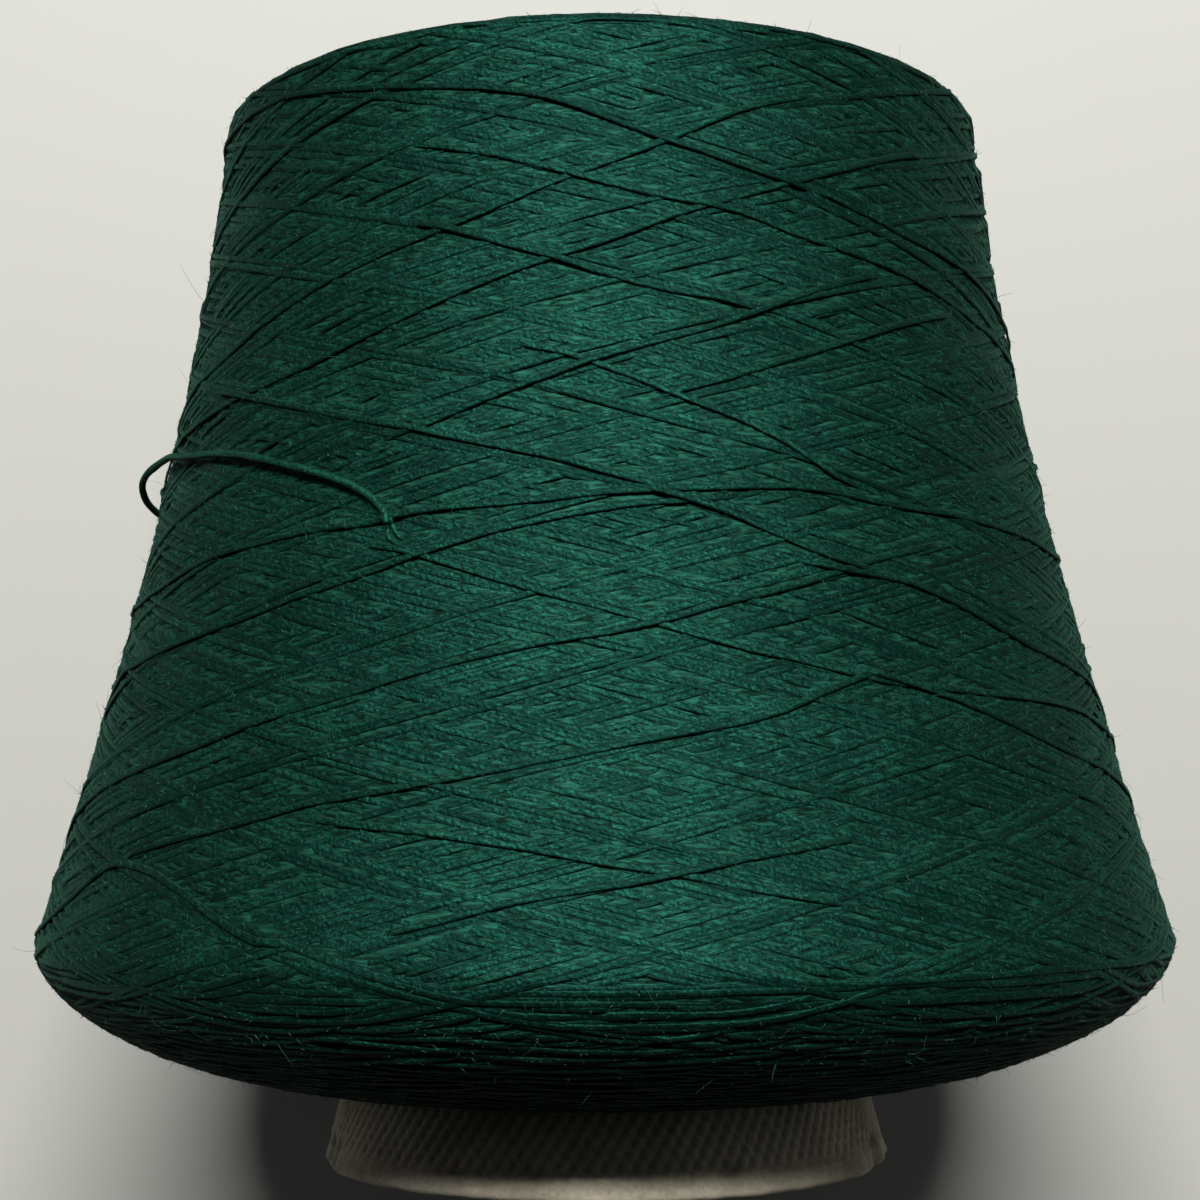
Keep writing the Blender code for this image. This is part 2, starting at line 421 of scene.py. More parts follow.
@dataclass(frozen=True)
class Lie:
    """How the former's axis lies over the surface: its tilt and where its base rim's centre is."""

    sin_tilt: float = 0.21074272612688807
    cos_tilt: float = 0.977541560950023
    rim_y: float = -76.27198458822242
    rim_z: float = 83.56416119026305
    softness: float = 0.25

    def turned(self, across: Array, up: Array, along: Array) -> Array:
        """Turns directions from the former's own axes into the frame's.

        Args:
            across: parts along +X.
            up: parts away from the axis on its top side.
            along: parts along the axis, from base to nose.

        Returns:
            The directions, one row each.
        """
        y = up * self.sin_tilt + along * self.cos_tilt
        z = up * self.cos_tilt - along * self.sin_tilt
        return np.stack(np.broadcast_arrays(across, y, z), -1)

    def placed(self, azimuth: Array, radius: Array, station: Array) -> Array:
        """Gives points in the frame for places round the former's axis.

        Args:
            azimuth: angles from the top side towards +X, in radians.
            radius: distances from the axis.
            station: distances along the axis from the base rim.

        Returns:
            The points in millimetres, one row each.
        """
        points = self.turned(radius * np.sin(azimuth), radius * np.cos(azimuth), station)
        return points + np.array((0.0, self.rim_y, self.rim_z))

    def pressed(self, points: Array) -> Array:
        """Flattens what would reach below the surface that the cone lies on, and keeps its order.

        Args:
            points: points in millimetres, one row each.

        Returns:
            The points, none of them below the surface.
        """
        held = points.copy()
        low = held[:, 2] < 8.0 * self.softness
        held[low, 2] = self.softness * np.logaddexp(0.0, held[low, 2] / self.softness)
        return held


@dataclass(frozen=True)
class FormerForm:
    """Sizes of the card former, as in the CAD model."""

    length: float = 162.0
    nose_radius: float = 12.5
    taper: float = 0.163
    flare_length: float = 12.0
    flare_rise: float = 1.2
    wall: float = 1.4
    lip_depth: float = 7.0
    rim_round: float = 0.7

    def radius(self, station: Array) -> Array:
        """Outer radius of the former at stations along it."""
        toward_rim = np.maximum(0.0, 1.0 - station / self.flare_length)
        return self.nose_radius + self.taper * (self.length - station) + self.flare_rise * toward_rim ** 2


@dataclass(frozen=True)
class WoundForm:
    """Sizes of the wound package, as in the CAD model."""

    gap: float = 0.3
    base_station: float = 11.6
    wide_station: float = 31.1
    wide_radius: float = 79.7
    shoulder_power: float = 1.8
    edge_station: float = 146.6
    edge_radius: float = 54.8
    sag: float = 3.1
    skew: float = -0.33
    crown_rise: float = 4.0
    crown_width: float = 21.7
    top_station: float = 153.0
    relief_height: float = 0.4
    relief_lobes: int = 6
    relief_pitch: float = 17.5
    relief_fade: float = 14.0
    hole_gap: float = 2.0
    former: FormerForm = field(default_factory=FormerForm)

    def flank_radius(self, station: Array) -> Array:
        """Gives the radius of the drawn-in flank, between the nose edge and the widest ring.

        Args:
            station: distances along the axis.

        Returns:
            The radii there.
        """
        along = (self.edge_station - station) / (self.edge_station - self.wide_station)
        bow = 4.0 * along * (1.0 - along)
        line = self.edge_radius + (self.wide_radius - self.edge_radius) * along
        return line - bow * (self.sag + 2.0 * self.skew * (2.0 * along - 1.0))

    def shoulder_radius(self, station: Array) -> Array:
        """Gives the radius of the rounded base shoulder.

        Args:
            station: distances along the axis.

        Returns:
            The radii there.
        """
        along = np.clip((self.wide_station - station) / (self.wide_station - self.base_station), 0.0, 1.0)
        inner = self.former.radius(np.float64(self.base_station)) + self.gap
        bulge = (1.0 - along ** self.shoulder_power) ** (1.0 / self.shoulder_power)
        return inner + (self.wide_radius - inner) * bulge

    def relief(self, azimuth: Array, station: Array) -> Array:
        """Gives the height of the crossing layers over the turned form.

        Args:
            azimuth: angles round the axis, in radians.
            station: distances along the axis.

        Returns:
            The heights there.
        """
        fade = np.clip(np.minimum(station - self.wide_station, self.edge_station - station)
                       / self.relief_fade, 0.0, 1.0)
        turned = (station - self.wide_station) / self.relief_pitch
        waves = np.cos(self.relief_lobes * azimuth) * np.cos(self.relief_lobes * turned)
        return self.relief_height * eased(fade) * waves

    def outline(self) -> tuple[Array, Array]:
        """Gives the outside of the package from the base hole to the nose hole.

        Returns:
            The radii and the stations of a fine row of points.
        """
        turn = np.linspace(0.0, 0.5 * math.pi, 200)
        rise = self.wide_station - self.base_station
        shoulder = self.wide_station - rise * np.cos(turn) ** (2.0 / self.shoulder_power)
        flank = np.linspace(self.wide_station, self.edge_station, 400)[1:]
        turn = turn[::2][1:]
        crown_radius = self.edge_radius - self.crown_width * (1.0 - np.cos(turn))
        crown = self.edge_station + self.crown_rise * np.sin(turn)
        share = np.linspace(0.0, 1.0, 60)[1:]
        hole = self.former.radius(np.float64(self.top_station)) + self.gap + self.hole_gap
        face_radius = crown_radius[-1] + (hole - crown_radius[-1]) * share
        face = crown[-1] + (self.top_station - crown[-1]) * share
        radius = np.concatenate([self.shoulder_radius(shoulder), self.flank_radius(flank),
                                 crown_radius, face_radius])
        return radius, np.concatenate([shoulder, flank, crown, face])


class Surface:
    """The outside of the package unrolled: azimuth round it and the way over its outline along it."""

    columns = 2304
    cell = 0.2
    flank_points = 600

    def __init__(self, form: WoundForm, lie: Lie) -> None:
        """Measures the outline.

        Args:
            form: the wound form.
            lie: how it lies.
        """
        self.form = form
        self.lie = lie
        radius, station = form.outline()
        way = np.concatenate([[0.0], np.cumsum(np.hypot(np.diff(radius), np.diff(station)))])
        self.length = float(way[-1])
        self.way = np.arange(0.0, self.length + self.cell, self.cell)
        self.radius = np.interp(self.way, way, radius)
        self.station = np.interp(self.way, way, station)
        slope_radius = np.gradient(self.radius, self.way)
        slope_station = np.gradient(self.station, self.way)
        steep = np.hypot(slope_radius, slope_station)
        self.out_radial = slope_station / steep
        self.out_axial = -slope_radius / steep
        outside = np.maximum.accumulate(station)[:self.flank_points]
        way = way[:self.flank_points]
        self.widest = float(np.interp(form.wide_station, outside, way))
        self.nose_edge = float(np.interp(form.edge_station, outside, way))

    @property
    def column_angle(self) -> float:
        """Azimuth between two columns."""
        return TURN / self.columns

    def way_at(self, station: Array) -> Array:
        """Way over the outline at stations on the shoulder or the flank."""
        inner = self.way <= self.nose_edge
        return np.interp(station, self.station[inner], self.way[inner])

    def radius_at(self, way: Array) -> Array:
        """Radius at ways over the outline."""
        return np.interp(way, self.way, self.radius)

    def points(self, azimuth: Array, way: Array, height: Array) -> Array:
        """Gives points in the frame for places over the package.

        Args:
            azimuth: angles round the axis, in radians.
            way: ways over the outline.
            height: heights over the wound form.

        Returns:
            The points in millimetres, one row each.
        """
        station = np.interp(way, self.way, self.station)
        lift = height + self.form.relief(azimuth, station)
        radius = self.radius_at(way) + lift * np.interp(way, self.way, self.out_radial)
        station = station + lift * np.interp(way, self.way, self.out_axial)
        return self.lie.placed(azimuth, radius, station)

    def outward(self, azimuth: Array, way: Array) -> Array:
        """Gives the directions that point straight out of the package.

        Args:
            azimuth: angles round the axis, in radians.
            way: ways over the outline.

        Returns:
            Unit directions, one row each.
        """
        radial = np.interp(way, self.way, self.out_radial)
        axial = np.interp(way, self.way, self.out_axial)
        return unit(self.lie.turned(radial * np.sin(azimuth), radial * np.cos(azimuth), axial))


# ---- winding

def smooth_noise(rng: Generator, count: int, spacing: float) -> Array:
    """Draws smooth random values along a line.

    Args:
        rng: the source of random numbers.
        count: how many values.
        spacing: how many values lie between two draws.

    Returns:
        The values, with a spread of about one.
    """
    draws = rng.standard_normal(max(2, int(math.ceil(count / spacing)) + 3))
    at = np.arange(count) / spacing
    left = at.astype(int)
    share = eased(at - left)
    return draws[left] * (1.0 - share) + draws[left + 1] * share


def softened(values: Array, width: int) -> Array:
    """Smooths values with a bell-shaped window.

    Args:
        values: the values.
        width: the window's width, made odd.

    Returns:
        As many values, smoothed.
    """
    width = max(3, width | 1)
    window = np.hanning(width + 2)[1:-1]
    padded = np.pad(values, (width // 2, width // 2), "edge")
    return np.convolve(padded, window / window.sum(), "valid")


@dataclass(frozen=True)
class Lay:
    """How a strand goes down: how taut and how high it bridges hollows, how it sinks in, its thickness."""

    most: float = 2.0
    taut: float = 0.2
    sink: float = 0.3
    radius: float = 0.43
    stiff: float = 1.5


@dataclass
class Strand:
    """One stroke of yarn on the surface, a value for each column that it crosses."""

    azimuth: Array
    way: Array
    height: Array
    column: Array
    row: Array
    spot: Array
    step: Array
    lean: Array
    settled: Array
    radius: float
    seen: Array | None = None


class Winding:
    """The height of the yarn over the whole package while it is wound."""

    flatness = 0.74
    grip = 0.2
    reach = 40
    fewest_columns = 8
    bridged = 5.0
    sunk = 0.6
    room = 15
    middle_radius = 62.0
    feelers = (-0.7, -0.36, 0.0, 0.36, 0.7)
    firming = ((0.8, 4.5, 6), (0.8, 1.2, 2))
    last_firming = ((1.0, 4.5, 6), (0.7, 1.0, 2))

    def __init__(self, surface: Surface) -> None:
        """Starts with a bare form.

        Args:
            surface: the unrolled surface.
        """
        self.surface = surface
        rows = len(surface.way)
        self.height = np.zeros((surface.columns, rows))
        self.given = np.zeros((surface.columns, rows))
        self.strands: list[Strand] = []
        self.level = 0.0

    def settle(self, share: float, width: float, block: int) -> None:
        """Evens out rises and hollows, as a firm package does under its own tension.

        Args:
            share: how much of them goes.
            width: how broad they are.
            block: how many cells of the height map are taken together.
        """
        columns, rows = self.height.shape
        spare = -rows % block
        wide = np.concatenate([self.height, self.height[:, -1:].repeat(spare, 1)], 1)
        small = wide.reshape(columns // block, block, -1, block).mean((1, 3))
        mirrored = np.concatenate([small, small[:, ::-1]], 1)
        round_step = TURN * self.middle_radius / columns * block
        turns = np.fft.fftfreq(mirrored.shape[0])[:, None] * width / round_step
        waves = np.fft.rfftfreq(mirrored.shape[1])[None] * width / (self.surface.cell * block)
        bell = np.exp(-2.0 * (math.pi * turns) ** 2 - 2.0 * (math.pi * waves) ** 2)
        broad = np.fft.irfft2(np.fft.rfft2(mirrored) * bell, s=mirrored.shape)[:, :small.shape[1]]
        drop = share * (broad - broad.mean())
        centre = (np.arange(rows) + 0.5) / block - 0.5
        low = np.clip(np.floor(centre).astype(int), 0, small.shape[1] - 2)
        part = np.clip(centre - low, 0.0, 1.0)
        fine = drop[:, low] * (1.0 - part) + drop[:, low + 1] * part
        centre = (np.arange(columns) + 0.5) / block - 0.5
        low = np.floor(centre).astype(int)
        part = (centre - low)[:, None]
        count = small.shape[0]
        fine = fine[low % count] * (1.0 - part) + fine[(low + 1) % count] * part
        self.height -= fine
        self.given += fine

    def press(self, share: float) -> None:
        """Presses the layers into one another, as a firm package does, and keeps their order.

        Args:
            share: how much of every height over or under the mean level is left.
        """
        self.level = float(self.height.mean())
        self.height[:] = self.level - self.sunk
        for strand in self.strands:
            given = self.given[strand.column, strand.row]
            height = strand.height - given + strand.settled
            strand.height = self.level + share * (height - self.level)
            strand.settled = given.copy()
            self.cover(strand.column, strand.spot, strand.lean, strand.height, strand.radius, self.flatness)
        self.level = float(self.height[:, ::3].mean())

    def firm_up(self, firming: tuple[tuple[float, float, int], ...] = firming) -> None:
        """Settles the package broadly and finely, each with its own share, width and cells."""
        for share, width, block in firming:
            self.settle(share, width, block)

    def columns_in(self, azimuth: Array) -> Array:
        """Numbers, not yet wrapped round, of the columns that growing azimuths cross."""
        angle = self.surface.column_angle
        return np.arange(int(math.ceil(azimuth[0] / angle)), int(math.floor(azimuth[-1] / angle)) + 1)

    def lean_of(self, along: Array) -> Array:
        """Cosine of a strand's slope, from its way at each of its columns."""
        slope = np.gradient(along) / (self.surface.radius_at(along) * self.surface.column_angle)
        return 1.0 / np.sqrt(1.0 + slope ** 2)

    def lay(self, azimuth: Array, way: Array, how: Lay, lift: Array | None = None) -> None:
        """Lays one stroke of yarn over what is there.

        Args:
            azimuth: the stroke's azimuths, always growing or always falling.
            way: its ways over the outline.
            how: how the strand goes down.
            lift: extra height along it.
        """
        surface = self.surface
        if azimuth[-1] < azimuth[0]:
            azimuth = azimuth[::-1]
            way = way[::-1]
            lift = None if lift is None else lift[::-1]
        index = self.columns_in(azimuth)
        if len(index) < self.fewest_columns:
            return
        at = index * surface.column_angle
        along = np.interp(at, azimuth, way)
        column = index % surface.columns
        rows = len(surface.way)
        spot = np.clip(along / surface.cell, 1, rows - 2)
        radius = surface.radius_at(along)
        out = np.interp(along, surface.way, surface.out_radial)
        lean = self.lean_of(along)
        step = radius * surface.column_angle / lean
        row = np.round(spot).astype(int)
        under = np.array([self.height[column, np.clip(row + k, 0, rows - 1)] for k in (-2, -1, 0, 1, 2)])
        base = self.grip * under.max(0) + (1.0 - self.grip) * under.mean(0)
        curve = np.clip(out, 0.03, None) * lean ** 2 / radius
        taut = base.copy()
        for k in range(1, min(self.reach, len(index) - 1)):
            drop = 0.5 * curve * (k * step) ** 2
            taut[k:] = np.maximum(taut[k:], base[:-k] - drop[k:])
            taut[:-k] = np.maximum(taut[:-k], base[k:] - drop[:-k])
        taut = np.minimum(taut, softened(base, int(self.bridged / np.mean(step))) + how.most)
        height = softened(base + how.taut * (taut - base), int(how.stiff / np.mean(step)))
        if lift is not None:
            height = height + np.interp(at, azimuth, lift)
        height = height - how.sink + how.radius * self.flatness
        self.cover(column, spot, lean, height, how.radius, self.flatness)
        self.strands.append(Strand(at, along, height, column, row, spot, step, lean,
                                   self.given[column, row].copy(), how.radius))

    def cover(self, column: Array, spot: Array, lean: Array, height: Array,
              radius: float, flatness: float) -> None:
        """Raises the height map to the top of a strand.

        Args:
            column: the columns that it crosses.
            spot: where it crosses them, in cells.
            lean: cosine of its slope there.
            height: height of its centre there.
            radius: half of its width.
            flatness: its height as a share of its width.
        """
        row = np.round(spot).astype(int)
        rows = self.height.shape[1]
        half = int(math.ceil(radius / self.surface.cell * 1.15))
        for k in range(-half, half + 1):
            cell = row + k
            off = (cell - spot) * self.surface.cell * lean
            inside = (np.abs(off) < radius * 0.98) & (cell >= 0) & (cell < rows)
            top = height[inside] + flatness * np.sqrt(radius ** 2 - off[inside] ** 2)
            where = (column[inside], cell[inside])
            self.height[where] = np.maximum(self.height[where], top)

    def make_room(self, azimuth: Array, way: Array, height: Array, radius: float,
                  covered_from: float) -> None:
        """Makes room for a strand that is made apart: what is under it gives way, and it is covered.

        Args:
            azimuth: the strand's azimuths, always growing.
            way: its ways over the outline.
            height: heights of its centre over the mean level.
            radius: half of its width.
            covered_from: the azimuth from which later strands go over it.
        """
        surface = self.surface
        index = self.columns_in(azimuth)
        at = index * surface.column_angle
        along = np.interp(at, azimuth, way)
        centre = np.interp(at, azimuth, height) + self.level
        column = index % surface.columns
        spot = along / surface.cell
        row = np.round(spot).astype(int)
        for k in range(-self.room, self.room + 1):
            off = (row + k - spot) * surface.cell
            over = self.height[column, row + k] - (centre - radius + 0.3 * off ** 2)
            over = np.maximum(0.0, over)
            self.height[column, row + k] -= over
            self.given[column, row + k] += over
        lean = self.lean_of(along)
        last = at > covered_from
        self.cover(column[last], spot[last], lean[last], centre[last], radius, 1.0)

    def top_at(self, azimuth: Array, way: Array) -> Array:
        """Height of the top of the yarn over the mean level at places on the surface."""
        column = np.round(azimuth / self.surface.column_angle).astype(int) % self.surface.columns
        return self.height[column, np.round(way / self.surface.cell).astype(int)] - self.level

    def finish(self, tolerance: float) -> None:
        """Brings every strand to its final height and finds what is still in sight of each.

        Args:
            tolerance: how far under the top a strand still counts as in sight.
        """
        rows = self.height.shape[1]
        for strand in self.strands:
            given = self.given[strand.column, strand.row] - strand.settled
            strand.height = strand.height - softened(given, round(1.0 / float(np.mean(strand.step))))
            seen = np.zeros(len(strand.column), bool)
            for share in self.feelers:
                off = share * strand.radius
                cell = np.clip(np.round(strand.spot + off / strand.lean / self.surface.cell), 0, rows - 1)
                cell = cell.astype(int)
                across = (cell - strand.spot) * self.surface.cell * strand.lean
                top = strand.height + self.flatness * np.sqrt(
                    np.clip(strand.radius ** 2 - across ** 2, 0.0, None))
                seen |= top >= self.height[strand.column, cell] - tolerance
            strand.seen = seen


@dataclass(frozen=True)
class Traverse:
    """How the winder's guide goes up and down the package while it turns.

    The guide is steady, so strokes of one direction lie side by side in bands. The yarn strays from
    it a little, and it turns back short of the guide's own ends.
    """

    double_strokes: int = 110
    turns: float = 2.0 + 5.0 / 11.0
    drift: float = 0.00070
    uneven: float = 0.0030
    angle: float = 14.0
    stray: float = 0.012
    stray_chance: float = 0.12
    slip: float = 0.45
    slip_length: float = 40.0
    step: float = 0.4
    bend: float = 15.0
    low_back: float = 5.0
    low_spread: float = 4.0
    high_past: float = 3.0
    high_spread: float = 3.0

    def strokes(self, surface: Surface, rng: Generator) -> list[tuple[Array, Array]]:
        """Works out the yarn's path on the surface, stroke by stroke.

        Args:
            surface: the unrolled surface.
            rng: the source of random numbers.

        Returns:
            Azimuths and ways of each stroke.
        """
        low = surface.widest - self.low_back
        high = surface.nose_edge + self.high_past
        ends = (low - self.low_spread, high + self.high_spread)
        slope = math.tan(math.radians(self.angle))
        between = np.linspace(*ends, 400)
        natural = float(np.mean(1.0 / surface.radius_at(between)) * (ends[1] - ends[0])) / slope
        wanted = (self.turns + self.drift) * TURN
        lengths, ways, limits, turned = [0.0], [ends[0]], [low], [0.0]
        for k in range(2 * self.double_strokes):
            if k % 2 == 0:
                share = 0.5 * (1.0 + self.uneven * rng.standard_normal())
                if rng.random() < self.stray_chance:
                    share *= 1.0 + self.stray * rng.standard_normal()
                part = wanted * share
                limits.append(high + self.high_spread * rng.uniform(-1.0, 1.0))
            else:
                part = wanted * (1.0 - share)
                limits.append(low + self.low_spread * rng.uniform(-1.0, 1.0))
            lean = math.atan(slope * natural / part)
            lengths.append(lengths[-1] + (ends[1] - ends[0]) / math.sin(lean))
            turned.append(turned[-1] + part)
            ways.append(ends[(k + 1) % 2])
        lengths = np.array(lengths)
        limits = np.array(limits)
        along = np.arange(0.0, lengths[-1], self.step)
        guide = np.interp(along, lengths, ways)
        lean = np.sqrt(np.clip(1.0 - np.gradient(guide, self.step) ** 2, 0.2, 1.0))
        azimuth = np.cumsum(lean / surface.radius_at(guide) * self.step)
        azimuth = np.interp(azimuth, np.interp(lengths, along, azimuth), turned)
        near = np.searchsorted(0.5 * (lengths[1:] + lengths[:-1]), along)
        limit = limits[near]
        way = np.where(near % 2 == 1, np.minimum(guide, limit), np.maximum(guide, limit))
        way = softened(way, round(self.bend / self.step))
        way = way + self.slip * smooth_noise(rng, len(along), self.slip_length / self.step)
        cuts = [int(length / self.step) for length in lengths]
        return [(azimuth[a:b + 1], way[a:b + 1]) for a, b in zip(cuts, cuts[1:])]


@dataclass(frozen=True)
class Turnbacks:
    """The loops where the yarn turned back at the shoulder and the crown, nearly straight round."""

    level: float = 0.5
    length: float = 62.0
    overlap: float = 0.62
    bend: float = 85.0
    spread: float = 1.6
    wander: float = 0.12
    wander_length: float = 40.0
    points: int = 150

    def arcs(self, surface: Surface, rng: Generator, start: float, stop: float,
             side: int) -> list[tuple[Array, Array]]:
        """Works out the loops from the paper outwards.

        Args:
            surface: the unrolled surface.
            rng: the source of random numbers.
            start: the way at the first loops, next to the paper.
            stop: the way at the last ones.
            side: 1 where the loops open towards greater ways, at the base, or -1, at the nose.

        Returns:
            Azimuths and ways of each loop.
        """
        found = []
        for level in np.arange(start, stop, side * self.level):
            around = TURN * float(surface.radius_at(np.float64(level)))
            count = max(3, round(around / (self.overlap * self.length)))
            shift = rng.uniform(0.0, TURN)
            for k in range(count):
                half = 0.5 * self.length * rng.uniform(0.8, 1.2)
                along = np.linspace(-half, half, self.points)
                middle = level + self.spread * rng.uniform(-0.5, 0.5)
                way = middle + side * along ** 2 / (2.0 * self.bend)
                way = way + self.wander * smooth_noise(rng, self.points, self.wander_length)
                way = np.clip(way, 0.3, surface.length - 0.3)
                radius = surface.radius_at(way)
                turned = np.cumsum(np.gradient(along) / radius)
                found.append((shift + TURN * k / count + turned - turned[self.points // 2], way))
        return found


# The guide's ratio wanders while a random-wound package grows, so its last layers differ in bands.
LAYERS = (
    Traverse(),
    Traverse(40, 2.0 + 4.0 / 9.0, 0.00044, 0.0018),
    Traverse(52, 2.0 + 5.0 / 13.0, 0.00030, 0.0018),
    Traverse(25, 2.0 + 2.0 / 5.0, 0.00078, 0.0018),
    Traverse(44, 2.0 + 5.0 / 11.0, 0.00036, 0.0018),
)


@dataclass(frozen=True)
class TopStrands:
    """Single strands that lie over the rest, as azimuths in degrees and stations along the axis.

    Those on the top side are the ones that the photograph shows. The far side has others like them.
    """

    routes: tuple[Route, ...] = (
        ((-65.2, 106.1), (-55.4, 108.8), (-48.4, 111.6), (-41.1, 113.8), (-33.0, 116.4), (-25.3, 118.9),
         (-18.6, 120.7), (-12.8, 122.7), (-6.6, 125.2), (0.0, 127.8), (6.8, 130.6), (11.3, 132.5),
         (16.7, 135.3), (23.9, 137.7)),
        ((-71.5, 99.2), (-58.9, 100.7), (-47.5, 102.7), (-38.5, 104.5), (-31.0, 106.8), (-24.3, 109.3),
         (-18.0, 111.4), (-12.0, 114.0), (-6.0, 115.9), (-0.1, 117.6), (5.8, 119.9), (12.1, 122.6),
         (18.7, 124.8), (25.9, 127.3), (34.0, 130.1), (44.0, 133.6)),
        ((-50.9, 143.7), (-35.5, 141.4), (-27.3, 140.3), (-19.2, 139.2), (-12.3, 138.1), (-6.3, 136.7),
         (0.0, 134.5), (6.8, 131.5), (12.5, 130.1), (18.9, 127.9), (23.0, 127.2)),
        ((-19.1, 130.9), (-12.6, 129.6), (-6.2, 127.3), (0.0, 125.4), (6.6, 123.7), (12.1, 123.0),
         (18.5, 122.2), (25.1, 119.8), (32.5, 118.6), (41.1, 116.9), (51.4, 114.8), (68.0, 112.0)),
        ((-4.7, 103.6), (2.0, 101.1), (8.9, 98.0), (16.3, 95.1), (21.9, 92.0), (25.3, 89.1)),
        ((-19.8, 95.0), (-17.9, 95.9), (-11.3, 98.8), (-5.7, 100.7), (-0.1, 102.9), (5.4, 104.6),
         (11.3, 106.5), (17.5, 108.9), (24.2, 111.8), (31.8, 114.7)),
        ((-50.0, 102.6), (-37.6, 99.2), (-29.7, 96.8), (-22.9, 95.2), (-16.8, 93.6), (-11.1, 92.0),
         (-5.6, 90.7), (-0.3, 88.7), (3.9, 87.3)),
        ((-21.2, 79.8), (-15.6, 77.8), (-10.3, 75.8), (-5.2, 73.9), (-0.3, 72.3), (4.4, 70.6),
         (9.2, 68.8), (14.0, 67.3), (19.0, 66.3), (24.1, 64.8), (29.7, 63.6), (35.9, 63.2),
         (43.2, 62.8), (52.7, 62.4), (62.3, 61.5)),
        ((-67.3, 49.1), (-62.4, 51.5), (-50.9, 54.9), (-42.7, 57.0), (-36.0, 59.1), (-30.2, 61.0),
         (-24.7, 62.6), (-19.6, 64.5), (-14.7, 66.0), (-9.9, 67.1), (-5.1, 68.2), (-0.4, 69.0),
         (4.4, 70.1), (7.4, 71.2), (11.4, 72.8), (17.8, 74.5), (23.5, 76.4), (28.7, 78.6), (34.2, 80.0)),
        ((-46.8, 44.8), (-39.6, 46.5), (-33.6, 48.1), (-28.2, 50.0), (-23.1, 50.8), (-18.3, 51.7),
         (-13.7, 52.6), (-9.2, 53.7), (-4.8, 54.8), (-0.4, 55.9), (4.1, 57.1), (8.6, 58.1),
         (13.4, 59.0), (16.7, 60.2), (21.1, 62.5), (26.0, 64.6)),
        ((-70.5, 65.4), (-66.8, 67.2), (-58.0, 68.6), (-47.4, 71.0), (-39.4, 72.8), (-32.7, 74.8),
         (-26.6, 76.3), (-21.1, 78.2), (-15.8, 80.3), (-10.6, 81.9), (-5.4, 83.0), (-0.3, 84.0),
         (4.8, 84.8), (10.1, 85.0)),
        ((-22.7, 47.5), (-17.9, 47.1), (-13.3, 46.2), (-8.9, 45.4), (-4.6, 44.5), (-0.4, 43.3),
         (3.7, 42.6), (7.8, 41.7), (12.0, 40.4), (16.2, 39.4)),
        ((24.8, 77.0), (32.1, 76.4), (38.7, 74.3), (46.1, 71.3), (49.6, 69.6), (60.2, 67.1), (71.0, 64.8)),
        ((30.3, 63.8), (35.7, 62.2), (42.3, 59.8), (50.2, 57.1), (61.6, 54.2), (68.0, 52.2)),
        ((33.3, 125.2), (41.8, 122.7), (50.2, 121.2), (60.1, 119.5), (71.0, 117.5)),
        ((12.3, 99.8), (16.9, 101.7), (23.3, 104.1), (30.6, 106.8), (39.2, 110.0), (45.3, 111.8)),
        ((-84.0, 31.5), (-75.0, 32.9), (-67.0, 35.0), (-61.1, 38.2), (-57.6, 40.9), (-52.8, 42.9),
         (-45.8, 42.2), (-39.9, 39.6), (-35.3, 36.9), (-30.2, 34.1)),
        ((-18.7, 120.4), (-12.2, 117.9), (-7.3, 116.5), (-0.2, 113.9), (6.8, 111.8), (13.9, 110.8)),
        ((-14.3, 36.6), (-8.6, 38.8), (-3.7, 40.1), (1.2, 40.9), (7.9, 42.5), (13.1, 44.0), (18.6, 44.9)),
        ((-70.3, 77.2), (-58.2, 79.1), (-49.0, 81.0), (-40.2, 82.1), (-32.9, 83.1), (-25.5, 83.2),
         (-21.7, 84.1), (-18.3, 84.6), (-11.0, 84.9), (-5.8, 85.2), (-0.3, 85.9), (4.9, 86.2),
         (10.2, 86.6), (15.6, 87.0), (21.4, 87.5), (27.4, 86.8), (34.0, 85.8), (41.8, 85.5),
         (51.7, 84.6), (67.1, 83.0)),
        ((9.0, 85.2), (14.2, 83.4), (19.5, 80.6), (24.9, 78.2)),
    )
    step: float = 0.5
    smoothing: float = 9.0
    edge_azimuth: float = 50.0
    far_side: float = 80.0
    near_runout: float = 9.0
    far_runout: float = 75.0
    steepest: float = 0.25
    dive: float = 6.0
    depth: float = 1.3
    others: int = 34
    other_lengths: tuple[float, float] = (25.0, 75.0)
    other_rises: tuple[float, float] = (9.0, 16.0)

